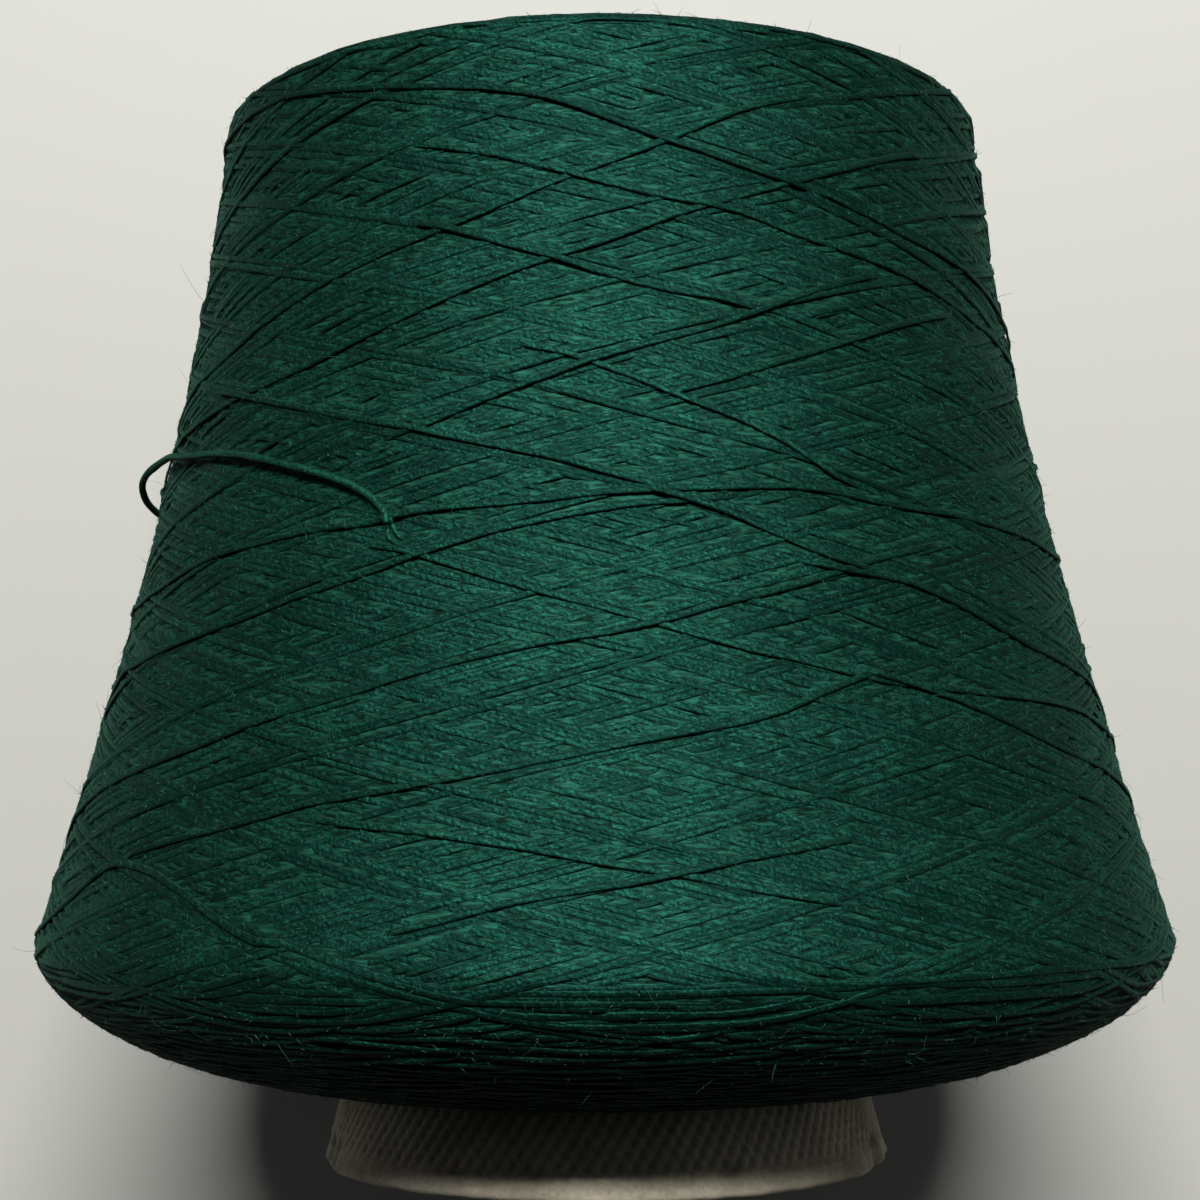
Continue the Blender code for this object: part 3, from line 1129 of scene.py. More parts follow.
    def strokes(self, surface: Surface,
                rng: Generator) -> list[tuple[Array, Array, Array]]:
        """Works out the strands' paths, past the ends of their routes to where they go under.

        Args:
            surface: the unrolled surface.
            rng: the source of random numbers.

        Returns:
            Azimuths, ways and lifts of each strand; the lift takes the ends under their neighbours.
        """
        found = []
        for route in self.far_routes(surface, rng) + list(self.routes):
            azimuth, station = np.array(route).T
            runout = [self.far_runout if self.edge_azimuth < abs(end) < self.far_side else self.near_runout
                      for end in (azimuth[0], azimuth[-1])]
            azimuth = np.radians(azimuth)
            way = surface.way_at(station)
            arc = np.concatenate([[0.0], np.cumsum(np.diff(azimuth) * surface.radius_at(way)[1:])])
            slope = (way[-1] - way[0]) / (arc[-1] - arc[0])
            slope = math.copysign(min(abs(slope), self.steepest), slope)
            even = np.arange(-runout[0], arc[-1] + runout[1], self.step)
            inside = np.clip(even, 0.0, arc[-1])
            way = np.interp(inside, arc, way) + slope * (even - inside)
            way = np.clip(way, surface.widest, surface.nose_edge - 3.0)
            way = softened(way, round(self.smoothing / self.step))
            turned = np.cumsum(self.step / surface.radius_at(way))
            start = np.searchsorted(even, 0.0)
            reached = np.interp(inside, arc, azimuth)
            azimuth = reached + np.where(even < 0.0, turned - turned[start], 0.0)
            last = np.searchsorted(even, arc[-1])
            azimuth = azimuth + np.where(even > arc[-1], turned - turned[min(last, len(turned) - 1)], 0.0)
            toward_end = np.minimum(even - even[0], even[-1] - even) / self.dive
            lift = -self.depth * (1.0 - eased(np.clip(toward_end, 0.0, 1.0)))
            found.append((azimuth, way, lift))
        return found

    def far_routes(self, surface: Surface, rng: Generator) -> list[Route]:
        """Draws strands like the traced ones for the sides and the under side.

        Args:
            surface: the unrolled surface.
            rng: the source of random numbers.

        Returns:
            Their routes.
        """
        form = surface.form
        routes = []
        for _ in range(self.others):
            middle = rng.uniform(85.0, 275.0)
            station = rng.uniform(form.wide_station + 8.0, form.edge_station - 6.0)
            half = math.degrees(rng.uniform(*self.other_lengths) / float(form.flank_radius(station)))
            rise = rng.choice((-1.0, 1.0)) * rng.uniform(*self.other_rises) * half / 60.0
            low = max(middle - half, self.far_side)
            high = min(middle + half, 360.0 - self.far_side)
            at = np.linspace(low, high, 6)
            up = station + rise * (at - middle) / half + 0.5 * rng.standard_normal(6)
            up = np.clip(up, form.wide_station + 2.0, form.edge_station - 2.0)
            routes.append(tuple(zip(at.tolist(), up.tolist())))
        return routes


# ---- strands as meshes

def corner_points(line: Array, length: Array, tolerance: float, longest: float) -> Array:
    """Picks the points of a line that hold its shape.

    Args:
        line: the line's points, one row each.
        length: the length along it at each.
        tolerance: how far the rest may lie off the straight pieces.
        longest: the longest straight piece.

    Returns:
        The numbers of the points to keep.
    """
    keep = {0, len(line) - 1}
    todo = [(0, len(line) - 1)]
    while todo:
        a, b = todo.pop()
        if b - a < 4:
            continue
        share = ((length[a:b + 1] - length[a]) / (length[b] - length[a]))[:, None]
        off = np.abs(line[a:b + 1] - (line[a] + share * (line[b] - line[a]))).max(1)
        far = int(off.argmax())
        if off[far] > tolerance and 1 < far < b - a - 1:
            middle = a + far
        elif length[b] - length[a] > longest:
            middle = (a + b) // 2
        else:
            continue
        keep.add(middle)
        todo.extend(((a, middle), (middle, b)))
    return np.array(sorted(keep))


@dataclass
class Run:
    """A stretch of yarn to be made: its centreline, what is outwards, its thickness and its shade."""

    points: Array
    outward: Array
    length: Array
    radius: Array
    shade: float


def round_section(sides: int) -> Array:
    """Corners of an even section, one of them outermost, as rising shares of a turn."""
    return 0.25 + np.arange(sides) / sides


class TubeBatch:
    """Many closed, slightly flattened tubes in one mesh."""

    strip_rows = 128
    texel = 1.0 / 1024.0

    def __init__(self, name: str, section: Array, flatness: float, evenness: float = 0.0) -> None:
        """Starts an empty batch.

        Args:
            name: the piece's name.
            section: where the corners of a tube's section are, as rising shares of a turn.
            flatness: a tube's height as a share of its width.
            evenness: how far the fibres' haze evens the light over a tube, from 0 to 1.
        """
        self.name = name
        self.section = section
        self.sides = len(section)
        self.flatness = flatness
        self.evenness = evenness
        self.runs: list[Run] = []

    def add(self, run: Run) -> None:
        """Adds one run."""
        self.runs.append(run)

    def triangles(self) -> int:
        """Number of triangles that the mesh will have."""
        return sum(2 * self.sides * (len(run.points) - 1) + 2 * (self.sides - 2) for run in self.runs)

    def build(self, lie: Lie, material: Material) -> Object:
        """Makes the mesh from arrays.

        Args:
            lie: how the package lies, which flattens what touches the surface.
            material: the strands' material.

        Returns:
            The new object.
        """
        sides = self.sides
        count = np.array([len(run.points) for run in self.runs])
        first = np.concatenate([[0], np.cumsum(count)[:-1]])
        last = first + count - 1
        points, outward, length, radius = (
            np.concatenate([getattr(run, name) for run in self.runs])
            for name in ("points", "outward", "length", "radius"))
        shade = np.repeat([run.shade for run in self.runs], count)
        total = len(points)
        ahead = np.minimum(np.arange(total) + 1, np.repeat(last, count))
        behind = np.maximum(np.arange(total) - 1, np.repeat(first, count))
        tangent = unit(points[ahead] - points[behind])
        across = unit(np.cross(tangent, outward))
        upward = np.cross(across, tangent)[:, None]
        cosine = np.cos(TURN * self.section)[None, :, None]
        sine = np.sin(TURN * self.section)[None, :, None]
        ring = cosine * across[:, None] + self.flatness * sine * upward
        vertices = lie.pressed((points[:, None] + radius[:, None, None] * ring).reshape(-1, 3)) * MM

        inner = np.setdiff1d(np.arange(total), last)
        k = np.arange(sides)
        after = (k + 1) % sides
        near = inner[:, None] * sides
        far = near + sides
        quads = np.stack([near + k, far + k, far + after, near + after], -1).reshape(-1, 4)
        start_caps = first[:, None] * sides + k
        end_caps = last[:, None] * sides + k[::-1]
        loops = np.concatenate([quads.ravel(), start_caps.ravel(), end_caps.ravel()])
        caps = 2 * len(self.runs)
        starts = np.concatenate([np.arange(len(quads)) * 4, len(quads) * 4 + np.arange(caps) * sides])
        mesh = bpy.data.meshes.new(self.name)
        mesh.vertices.add(len(vertices))
        mesh.vertices.foreach_set("co", vertices.astype(np.float32).ravel())
        mesh.loops.add(len(loops))
        mesh.loops.foreach_set("vertex_index", loops.astype(np.int32))
        mesh.polygons.add(len(starts))
        mesh.polygons.foreach_set("loop_start", starts.astype(np.int32))
        mesh.polygons.foreach_set("use_smooth", np.ones(len(starts), bool))
        mesh.update(calc_edges=True)

        here, there = length[inner], length[inner + 1]
        along = np.stack([here, there, there, here], -1)[:, None].repeat(sides, 1)
        share = np.append(self.section, self.section[0] + 1.0)
        around = np.stack([share[:-1], share[:-1], share[1:], share[1:]], -1)[None].repeat(len(inner), 0)
        quad_map = np.stack([along, around], -1).reshape(-1, 2)
        cap_maps = [np.stack(np.broadcast_arrays(length[ends][:, None], turns), -1).reshape(-1, 2)
                    for ends, turns in ((first, share[:-1]), (last, share[-2::-1]))]
        set_map(mesh, "strand", np.concatenate([quad_map, *cap_maps]))
        self.lay_out(mesh, quad_map, count, first, last, length)
        if self.evenness:
            facing = unit(cosine * self.flatness * across[:, None] + sine * upward)
            facing = unit((1.0 - self.evenness) * facing + self.evenness * outward[:, None])
            mesh.normals_split_custom_set_from_vertices(facing.reshape(-1, 3).tolist())
        set_values(mesh, "shade", np.repeat(shade, sides))
        mesh.materials.append(material)
        return linked(self.name, mesh)

    def lay_out(self, mesh: Mesh, quad_map: Array, count: Array, first: Array,
                last: Array, length: Array) -> None:
        """Lays every run as its own strip of the piece's bake map, in rows.

        Args:
            mesh: the mesh.
            quad_map: the strand map of the side faces' corners.
            count: points in each run.
            first: number of each run's first point.
            last: number of each run's last point.
            length: length at each point.
        """
        sides = self.sides
        texel = self.texel
        spans = length[last] - length[first]
        room = 1.0 - 2.0 * texel
        scale = self.strip_rows * room / (spans.sum() * 1.06 + self.strip_rows * spans.max() * 0.5)
        edge = 1.5 * texel
        row, at = 0, edge
        places = np.zeros((len(spans), 2))
        for i, span in enumerate(spans):
            wide = span * scale + 6.0 * texel
            if at + wide > room:
                row, at = row + 1, edge
            places[i] = (at + 3.0 * texel, row)
            at += wide
        rows = row + 1
        high = 1.0 / rows
        owner = np.repeat(np.arange(len(count)), count - 1)
        owner = owner[:, None].repeat(sides * 4, 1).ravel()
        x = places[owner, 0] + (quad_map[:, 0] - length[first][owner]) * scale
        y = (places[owner, 1] + 0.08 + 0.84 * (quad_map[:, 1] - self.section[0])) * high
        ends = []
        angle = TURN * np.arange(sides) / sides
        for shift, turn in ((-1.5 * texel, angle), (1.5 * texel, angle[::-1])):
            base = places[:, 0] + (0.0 if shift < 0 else spans * scale) + shift
            cap_x = base[:, None] + 1.2 * texel * np.cos(turn)
            cap_y = (places[:, 1, None] + 0.5 + 0.35 * np.sin(turn)) * high
            ends.append(np.stack([cap_x, cap_y], -1).reshape(-1, 2))
        set_map(mesh, "OFBake", np.concatenate([np.stack([x, y], -1), *ends]))


# ---- camera, lights and surface

@dataclass(frozen=True)
class Viewpoint:
    """The photograph's camera, in metres."""

    place: tuple[float, float, float] = (-0.00041, 0.03882, 0.38160)
    tilt: float = math.radians(6.766)
    roll: float = math.radians(0.3)
    lens: float = 64.89
    sensor: float = 36.0

    def build(self) -> Object:
        """Makes the camera and gives it to the scene.

        Returns:
            The camera.
        """
        data = bpy.data.cameras.new("photo_camera")
        data.sensor_fit = "AUTO"
        data.sensor_width = self.sensor
        data.lens = self.lens
        data.clip_start = 0.01
        data.clip_end = 20.0
        camera = linked("photo_camera", data)
        sin_tilt, cos_tilt = math.sin(self.tilt), math.cos(self.tilt)
        up = np.array((0.0, cos_tilt, -sin_tilt))
        right = np.array((1.0, 0.0, 0.0))
        back = np.array((0.0, sin_tilt, cos_tilt))
        leaned_up = math.cos(self.roll) * up + math.sin(self.roll) * right
        leaned_right = math.cos(self.roll) * right - math.sin(self.roll) * up
        camera.matrix_world = standing(leaned_right, leaned_up, back, np.array(self.place))
        bpy.context.scene.camera = camera
        return camera


@dataclass(frozen=True)
class Studio:
    """Plain floor and soft light, with the key from beyond the nose."""

    floor_size: float = 4.0
    key_power: float = 61.0
    key_width: float = 0.75
    key_length: float = 0.2
    key_distance: float = 1.5
    key_height: float = math.radians(49.5)
    key_side: float = math.radians(1.0)
    key_colour: tuple[float, float, float] = (1.0, 0.995, 0.985)
    aimed_at: float = 0.05
    room_colour: str = "#f4f6f8"
    bright: float = 0.5
    dim: float = 0.01

    def build(self) -> Object:
        """Makes the floor, the lights and the world.

        Returns:
            The floor.
        """
        bpy.ops.object.select_all(action="DESELECT")
        bpy.ops.mesh.primitive_plane_add(size=self.floor_size, location=(0.0, 0.0, 0.0))
        floor = bpy.context.object
        floor.name = "floor"
        floor.data.materials.append(PaleSurface().material())
        self.key()
        self.world()
        scene = bpy.context.scene
        scene.view_settings.view_transform = "Standard"
        scene.view_settings.look = "None"
        return floor

    def key(self) -> None:
        """Makes the soft key light."""
        data = bpy.data.lights.new("key", "AREA")
        data.shape = "RECTANGLE"
        data.size = self.key_width
        data.size_y = self.key_length
        data.energy = self.key_power
        data.color = self.key_colour
        light = linked("key", data)
        flat = math.cos(self.key_height) * self.key_distance
        toward = np.array((math.sin(self.key_side) * flat, math.cos(self.key_side) * flat,
                           math.sin(self.key_height) * self.key_distance))
        back = unit(toward)
        right = unit(np.cross((0.0, 0.0, 1.0), back))
        place = toward + np.array((0.0, 0.0, self.aimed_at))
        light.matrix_world = standing(right, np.cross(back, right), back, place)

    def world(self) -> None:
        """Makes the soft light of the room: brighter beyond the nose and at both sides, dim overhead."""
        world = bpy.data.worlds.new("room")
        world.use_nodes = True
        tree = world.node_tree
        tree.nodes.clear()
        place = add_node(tree, "TexCoord").outputs["Generated"]
        split = add_node(tree, "SeparateXYZ", links={0: place})
        sideways = add_node(tree, "Math", {"operation": "ABSOLUTE"}, {0: split})
        rightward = add_node(tree, "Math", {"operation": "MULTIPLY_ADD", 1: 0.1},
                             {0: split, 2: split.outputs[1]})
        lower = add_node(tree, "Math", {"operation": "MULTIPLY_ADD", 1: -0.3},
                         {0: split.outputs[2], 2: rightward})
        around = add_node(tree, "Math", {"operation": "MULTIPLY_ADD", 1: 0.65}, {0: sideways, 2: lower})
        level = add_node(tree, "MapRange",
                         {"interpolation_type": "SMOOTHSTEP", 1: 0.3, 2: 0.95, 3: self.dim, 4: self.bright},
                         {0: around})
        background = add_node(tree, "Background", {"Color": linear(self.room_colour)},
                              {"Strength": level})
        add_node(tree, "OutputWorld", links={"Surface": background})
        bpy.context.scene.world = world


# ---- the three sub-assemblies

@dataclass
class LooseEnd:
    """The one end of yarn that shows: it loops past the outline and is tucked under a strand."""

    surface: Surface
    diameter: float = 1.0
    spacing: float = 0.8
    between_knots: int = 24
    # The end and its plies are paler than the package's strands: a painted highlight on the yarn that
    # stands clear of the rest.
    shade: float = 0.27
    ply_painted_highlight_shade: float = 0.29
    ply_points: int = 22
    route: tuple[tuple[float, float, float], ...] = (
        (-103.0, 91.0, 1.0), (-98.0, 91.5, 1.2), (-92.0, 92.6, 1.9), (-87.5, 93.6, 2.8),
        (-84.0, 94.7, 3.3), (-81.0, 95.6, 3.4), (-78.5, 96.5, 3.0), (-76.0, 97.2, 2.1),
        (-73.0, 97.6, 1.3), (-69.0, 97.4, 1.0), (-63.7, 96.5, 0.92), (-57.5, 95.7, 0.92),
        (-53.0, 95.2, 0.92), (-49.1, 94.6, 0.92), (-45.7, 94.0, 0.92), (-42.6, 93.2, 0.92),
        (-39.7, 92.4, 0.92), (-35.9, 91.2, 0.92), (-32.7, 90.2, 0.92), (-29.6, 89.0, 0.92),
        (-27.2, 87.8, 0.92), (-25.3, 86.6, 0.92), (-24.0, 85.4, 0.92), (-23.1, 84.2, 0.92),
        (-22.7, 83.0, 0.92),
    )
    held_from: float = -30.0
    plies: tuple[Route, ...] = (
        ((-22.9, 83.6), (-22.95, 82.6), (-22.9, 81.7), (-22.2, 80.9), (-21.3, 80.2), (-20.3, 79.8)),
        ((-22.5, 83.6), (-22.4, 82.9), (-22.0, 82.0), (-21.4, 81.3), (-20.9, 81.0)),
    )

    def line(self) -> tuple[Array, Array, Array]:
        """Works out the smooth centreline through the route's points.

        Returns:
            Points in millimetres, their azimuths and their ways over the outline, evenly spaced.
        """
        azimuth, station, height = np.array(self.route).T
        azimuth = np.radians(azimuth)
        form = self.surface.form
        radius = form.flank_radius(station) + form.relief(azimuth, station) + height
        knots = np.stack([radius * np.sin(azimuth), radius * np.cos(azimuth), station], 1)
        ends = np.concatenate([[2.0 * knots[0] - knots[1]], knots, [2.0 * knots[-1] - knots[-2]]])
        dense = []
        for a, b, c, d in zip(ends, ends[1:], ends[2:], ends[3:]):
            t = np.arange(self.between_knots)[:, None] / self.between_knots
            dense.append(0.5 * (2.0 * b + (c - a) * t + (2.0 * a - 5.0 * b + 4.0 * c - d) * t * t
                                + (3.0 * b - a - 3.0 * c + d) * t ** 3))
        dense = np.concatenate([*dense, knots[-1:]])
        along = lengths_along(dense)
        even = np.linspace(0.0, along[-1], round(along[-1] / self.spacing) + 1)
        across, up, station = (np.interp(even, along, dense[:, i]) for i in range(3))
        azimuth = np.arctan2(across, up)
        points = self.surface.lie.placed(azimuth, np.hypot(across, up), station)
        return points, azimuth, self.surface.way_at(station)

    def build(self, material: Material) -> Object:
        """Args:
            material: the yarn material.

        Returns:
            The piece.
        """
        points, azimuth, way = self.line()
        length = lengths_along(points)
        rng = np.random.default_rng(SEED + 3)
        radius = 0.5 * self.diameter * (1.0 + 0.05 * smooth_noise(rng, len(points), 3.0))
        batch = TubeBatch("loose_end_yarn", round_section(10), 1.0)
        batch.add(Run(points, self.surface.outward(azimuth, way), length, radius, self.shade))
        piece = batch.build(self.surface.lie, material)
        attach(piece, BODY)
        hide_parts("loose_end")
        log.info("loose end: %.1f mm long", length[-1])
        return piece

    def bed(self, winding: Winding) -> None:
        """Lets the layers give way under the end, before the strand that holds it is laid.

        Args:
            winding: the winding without its single strands.
        """
        azimuth, station, height = np.array(self.route).T
        winding.make_room(np.radians(azimuth), self.surface.way_at(station), height, 0.5 * self.diameter,
                          math.radians(self.held_from))

    def fray(self, winding: Winding, material: Material) -> Object:
        """Makes the two plies that part at the tip, past the strand that holds it.

        Args:
            winding: the finished winding.
            material: the yarn material.

        Returns:
            The piece.
        """
        batch = TubeBatch("loose_end_plies", round_section(8), 0.9)
        rng = np.random.default_rng(SEED + 4)
        for tip in self.plies:
            azimuth, station = np.array(tip).T
            share = np.linspace(0.0, len(azimuth) - 1.0, self.ply_points)
            azimuth = np.radians(softened(np.interp(share, np.arange(len(azimuth)), azimuth), 5))
            way = self.surface.way_at(softened(np.interp(share, np.arange(len(station)), station), 5))
            under = winding.top_at(azimuth, way)
            rise = softened(np.maximum(under + 0.16, 0.1), 7)
            rise[:4] = np.maximum(rise[:4], 0.8)
            points = self.surface.points(azimuth, way, softened(rise, 5))
            length = lengths_along(points)
            radius = np.interp(share / share[-1], (0.0, 0.6, 1.0), (0.36, 0.27, 0.1))
            radius = radius * (1.0 + 0.08 * smooth_noise(rng, len(radius), 4.0))
            batch.add(Run(points, self.surface.outward(azimuth, way), length, radius, self.ply_painted_highlight_shade))
        piece = batch.build(self.surface.lie, material)
        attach(piece, BODY)
        return piece


@dataclass
class WoundPackage:
    """The cross-wound yarn: a body of under layers and the strands that are in sight."""

    surface: Surface
    loose_end: LooseEnd
    turnbacks: Turnbacks = field(default_factory=Turnbacks)
    top_strands: TopStrands = field(default_factory=TopStrands)
    settle_every: int = 15
    in_sight: float = 0.05
    pieces: int = 4
    pressed: float = 0.5
    body_depth: float = 0.16
    body_block: int = 8
    body_rows: int = 9
    body_middle: float = 87.0
    shade: float = 0.135
    shade_spread: float = 0.035
    shade_range: tuple[float, float] = (0.035, 0.235)
    slub: float = 0.05
    slub_length: float = 30.0
    joined_over: float = 4.0
    shortest: float = 1.8
    longest: float = 6.0
    past_sight: float = 0.6
    way_weight: float = 0.6
    evenness: float = 0.13
    tube_swell: float = 1.16
    tube_flatness: float = 0.56
    tube_section: tuple[float, ...] = (-15.0, 58.0, 122.0, 195.0)
    bend_near: float = 0.1
    bend_far: float = 0.2
    far_from: float = 105.0

    def wind(self) -> Winding:
        """Winds the package.

        Returns:
            The finished winding.
        """
        surface = self.surface
        rng = np.random.default_rng(SEED)
        winding = Winding(surface)
        ring = Lay(taut=0.15)
        loops = self.turnbacks.arcs(surface, rng, 0.5, surface.widest - 6.0, 1)
        loops += self.turnbacks.arcs(surface, rng, surface.length - 0.5, surface.nose_edge + 3.0, -1)
        for number, (azimuth, way) in enumerate(loops):
            winding.lay(azimuth, way, ring)
            if number % 150 == 149:
                winding.firm_up()
        log.info("turnbacks laid: %d", len(loops))
        number = 0
        for traverse in LAYERS:
            plain = Lay(radius=0.42 if traverse is LAYERS[0] else 0.44)
            for azimuth, way in traverse.strokes(surface, rng):
                winding.lay(azimuth, way, plain)
                number += 1
                if number % self.settle_every == 0:
                    winding.firm_up()
        winding.firm_up(winding.last_firming)
        winding.press(self.pressed)
        self.loose_end.bed(winding)
        single = Lay(most=0.5, taut=0.55, sink=0.22, radius=0.42, stiff=2.5)
        for azimuth, way, lift in self.top_strands.strokes(surface, rng):
            winding.lay(azimuth, way, single, lift)
        winding.finish(self.in_sight)
        log.info("strokes laid: %d", len(winding.strands))
        return winding

    def runs(self, winding: Winding) -> list[Run]:
        """Cuts the strands into the runs that are in sight.

        Args:
            winding: the finished winding.

        Returns:
            The runs.
        """
        rng = np.random.default_rng(SEED + 1)
        surface = self.surface
        mean = winding.level
        found = []
        for strand in winding.strands:
            step = float(np.mean(strand.step))
            wide = max(1, round(self.past_sight / step))
            seen = np.convolve(strand.seen, np.ones(2 * wide + 1), "same") > 0
            edges = np.flatnonzero(np.diff(np.concatenate([[0], seen.astype(np.int8), [0]])))
            starts, stops = edges[::2], edges[1::2]
            if not len(starts):
                continue
            apart = (starts[1:] - stops[:-1]) * step > self.joined_over
            starts = starts[np.concatenate([[True], apart])]
            stops = stops[np.concatenate([apart, [True]])]
            shade = self.shade_spread * rng.standard_normal()
            shade = float(np.clip(self.shade + shade, *self.shade_range))
            slub = 1.0 + self.slub * smooth_noise(rng, len(strand.column), self.slub_length)
            along = rng.uniform(0.0, 400.0) + np.cumsum(strand.step)
            for a, b in zip(starts, stops):
                if (b - a) * step < self.shortest:
                    continue
                part = slice(a, b)
                flat = np.stack([strand.height[part] - mean, strand.way[part]], 1)
                flat[:, 1] *= self.way_weight
                middle = (math.degrees(strand.azimuth[(a + b) // 2]) + 180.0) % 360.0 - 180.0
                bend = self.bend_far if abs(middle) > self.far_from else self.bend_near
                keep = corner_points(flat, along[part], bend, self.longest) + a
                azimuth, way = strand.azimuth[keep], strand.way[keep]
                points = surface.points(azimuth, way, strand.height[keep] - mean)
                radius = strand.radius * self.tube_swell * slub[keep]
                found.append(Run(points, surface.outward(azimuth, way), along[keep], radius, shade))
        return found

    def build(self, yarn: Material) -> list[Object]:
        """Makes the package's pieces.

        Args:
            yarn: the yarn material.

        Returns:
            The pieces.
        """
        winding = self.wind()
        runs = self.runs(winding)
        order = np.random.default_rng(SEED + 2).permutation(len(runs))
        section = np.array(self.tube_section) / 360.0
        batches = [TubeBatch(f"wound_strands_{i + 1}", section, self.tube_flatness, self.evenness)
                   for i in range(self.pieces)]
        for number in order:
            batches[int(number) % self.pieces].add(runs[number])
        made = []
        for batch in batches:
            piece = batch.build(self.surface.lie, yarn)
            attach(piece, BODY)
            made.append(piece)
            log.info("%s: %d runs, %d triangles", batch.name, len(batch.runs), batch.triangles())
        metres = sum(run.length[-1] - run.length[0] for run in runs) / 1000.0
        log.info("yarn in sight: %.1f m in %d runs", metres, len(runs))
        body = self.body(winding)
        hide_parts("yarn_package")
        made.append(body)
        made.append(self.loose_end.fray(winding, yarn))
        fibre = LooseFibre().material()
        made.append(Fuzz(self.surface).build(runs, fibre))
        made.append(Nap(self.surface).build(runs, fibre))
        return made

    def body(self, winding: Winding) -> Object:
        """Makes the body of under layers: the height map's own broad relief, a little under its top.

        It can't be spun, because it follows the relief of the winding.

        Args:
            winding: the finished winding.

        Returns:
            The body piece.
        """
        surface = self.surface
        form = surface.form
        block, every = self.body_block, self.body_rows
        turns = surface.columns // block
        near = winding.height.reshape(turns, block, -1).mean(1)
        near = 0.5 * near + 0.25 * (np.roll(near, 1, 0) + np.roll(near, -1, 0))
        window = np.ones(every) / every
        near = np.apply_along_axis(lambda line: np.convolve(line, window, "same"), 1, near)
        rows = np.arange(every, len(surface.way) - every, every)
        depth = self.body_depth + winding.level - near[:, rows]
        azimuth = (np.arange(turns) + 0.5) * TURN / turns
        relief = form.relief(azimuth[:, None], surface.station[rows][None])
        depth = np.clip(depth, 0.1, 1.6) - relief
        radius = surface.radius[rows] - depth * surface.out_radial[rows]
        station = surface.station[rows] - depth * surface.out_axial[rows]
        inner_station = np.array((form.top_station - 2.0, self.body_middle, form.base_station + 2.0))
        inner = np.broadcast_to(form.former.radius(inner_station) + form.gap, (turns, 3))
        radius = np.concatenate([radius, inner], 1)
        station = np.concatenate([station, np.broadcast_to(inner_station, (turns, 3))], 1)
        grid = surface.lie.placed(azimuth[:, None], radius, station).reshape(-1, 3)
        grid = surface.lie.pressed(grid) * MM
        across = radius.shape[1]
        i, j = np.meshgrid(np.arange(turns), np.arange(across), indexing="ij")
        i, j = i.ravel(), j.ravel()
        i2, j2 = (i + 1) % turns, (j + 1) % across
        faces = np.stack([i * across + j, i * across + j2, i2 * across + j2, i2 * across + j], 1)
        mesh = bpy.data.meshes.new("under_layers")
        mesh.from_pydata(grid.tolist(), [], faces.tolist())
        corner = np.array(((i, j), (i, j + 1), (i + 1, j + 1), (i + 1, j)))
        corner = corner.transpose(2, 0, 1).reshape(-1, 2)
        set_map(mesh, "OFBake", 0.003 + 0.994 * corner / np.array((turns, across)))
        mesh.shade_smooth()
        mesh.materials.append(ShadedUnderwinding().material())
        piece = linked("under_layers", mesh)
        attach(piece, BODY)
        log.info("under layers: %d faces", len(faces))
        return piece


@dataclass
class FibreCrop:
    """Fibres that stand out of the strands all over the package, evenly along the yarn.

    Real ones are 0.02 to 0.03 mm thick, too fine to show, so they are drawn several times as thick.
    """

    surface: Surface
    count: int
    shortest: float
    mean_extra: float
    longest: float
    radius: float
    above: float

    def roots(self, runs: list[Run],
              rng: Generator) -> tuple[Array, Array, Array, Array]:
        """Picks where the fibres grow and how long they are.

        Args:
            runs: the package's runs.
            rng: the source of random numbers.

        Returns:
            The fibres' roots, what is outwards there, the way the strand runs, and their lengths.
        """
        start = np.concatenate([run.points[:-1] for run in runs])
        ahead = np.concatenate([run.points[1:] for run in runs]) - start
        out = np.concatenate([run.outward[:-1] for run in runs])
        span = np.linalg.norm(ahead, axis=1)
        picked = rng.choice(len(span), self.count, p=span / span.sum())
        out = out[picked]
        root = start[picked] + rng.uniform(0.0, 1.0, (self.count, 1)) * ahead[picked] + self.above * out
        reach = np.minimum(self.shortest + rng.exponential(self.mean_extra, (self.count, 1)), self.longest)
        return root, out, ahead[picked] / span[picked, None], reach


@dataclass
class Fuzz(FibreCrop):
    """The longer fibres, curved."""

    count: int = 3600
    shortest: float = 0.8
    mean_extra: float = 0.6
    longest: float = 4.0
    radius: float = 0.032
    above: float = 0.2
    points: int = 5
    curl: float = 0.55

    def build(self, runs: list[Run], material: Material) -> Object:
        """Grows the fibres from the strands in sight.

        Args:
            runs: the package's runs.
            material: the fibres' material.

        Returns:
            The piece.
        """
        rng = np.random.default_rng(SEED + 5)
        root, out, tangent, reach = self.roots(runs, rng)
        side = np.cross(out, tangent)
        lean = rng.uniform(0.25, 1.1, (self.count, 1))
        heading = rng.uniform(0.0, TURN, (self.count, 1))
        first = unit(out * lean + tangent * np.cos(heading) + side * np.sin(heading))
        curl = rng.normal(0.0, self.curl, (self.count, 3)) - 0.4 * out
        t = np.linspace(0.0, 1.0, self.points)[None, :, None]
        lines = root[:, None] + reach[:, None] * (t * first[:, None] + t * t * curl[:, None])
        steps = np.linalg.norm(np.diff(lines, axis=1), axis=2)
        along = np.concatenate([np.zeros((self.count, 1)), np.cumsum(steps, 1)], 1)
        thick = self.radius * np.linspace(1.1, 0.45, self.points) * rng.uniform(0.7, 1.3, (self.count, 1))
        upward = unit(np.cross(first, side + 0.3 * tangent))
        batch = TubeBatch("fuzz_fibres", round_section(3), 1.0)
        for line, above, length, radius in zip(lines, upward, along, thick):
            batch.add(Run(line, np.broadcast_to(above, line.shape), length, radius, 0.5))
        piece = batch.build(self.surface.lie, material)
        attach(piece, BODY)
        log.info("fuzz: %d fibres, %d triangles", self.count, batch.triangles())
        return piece


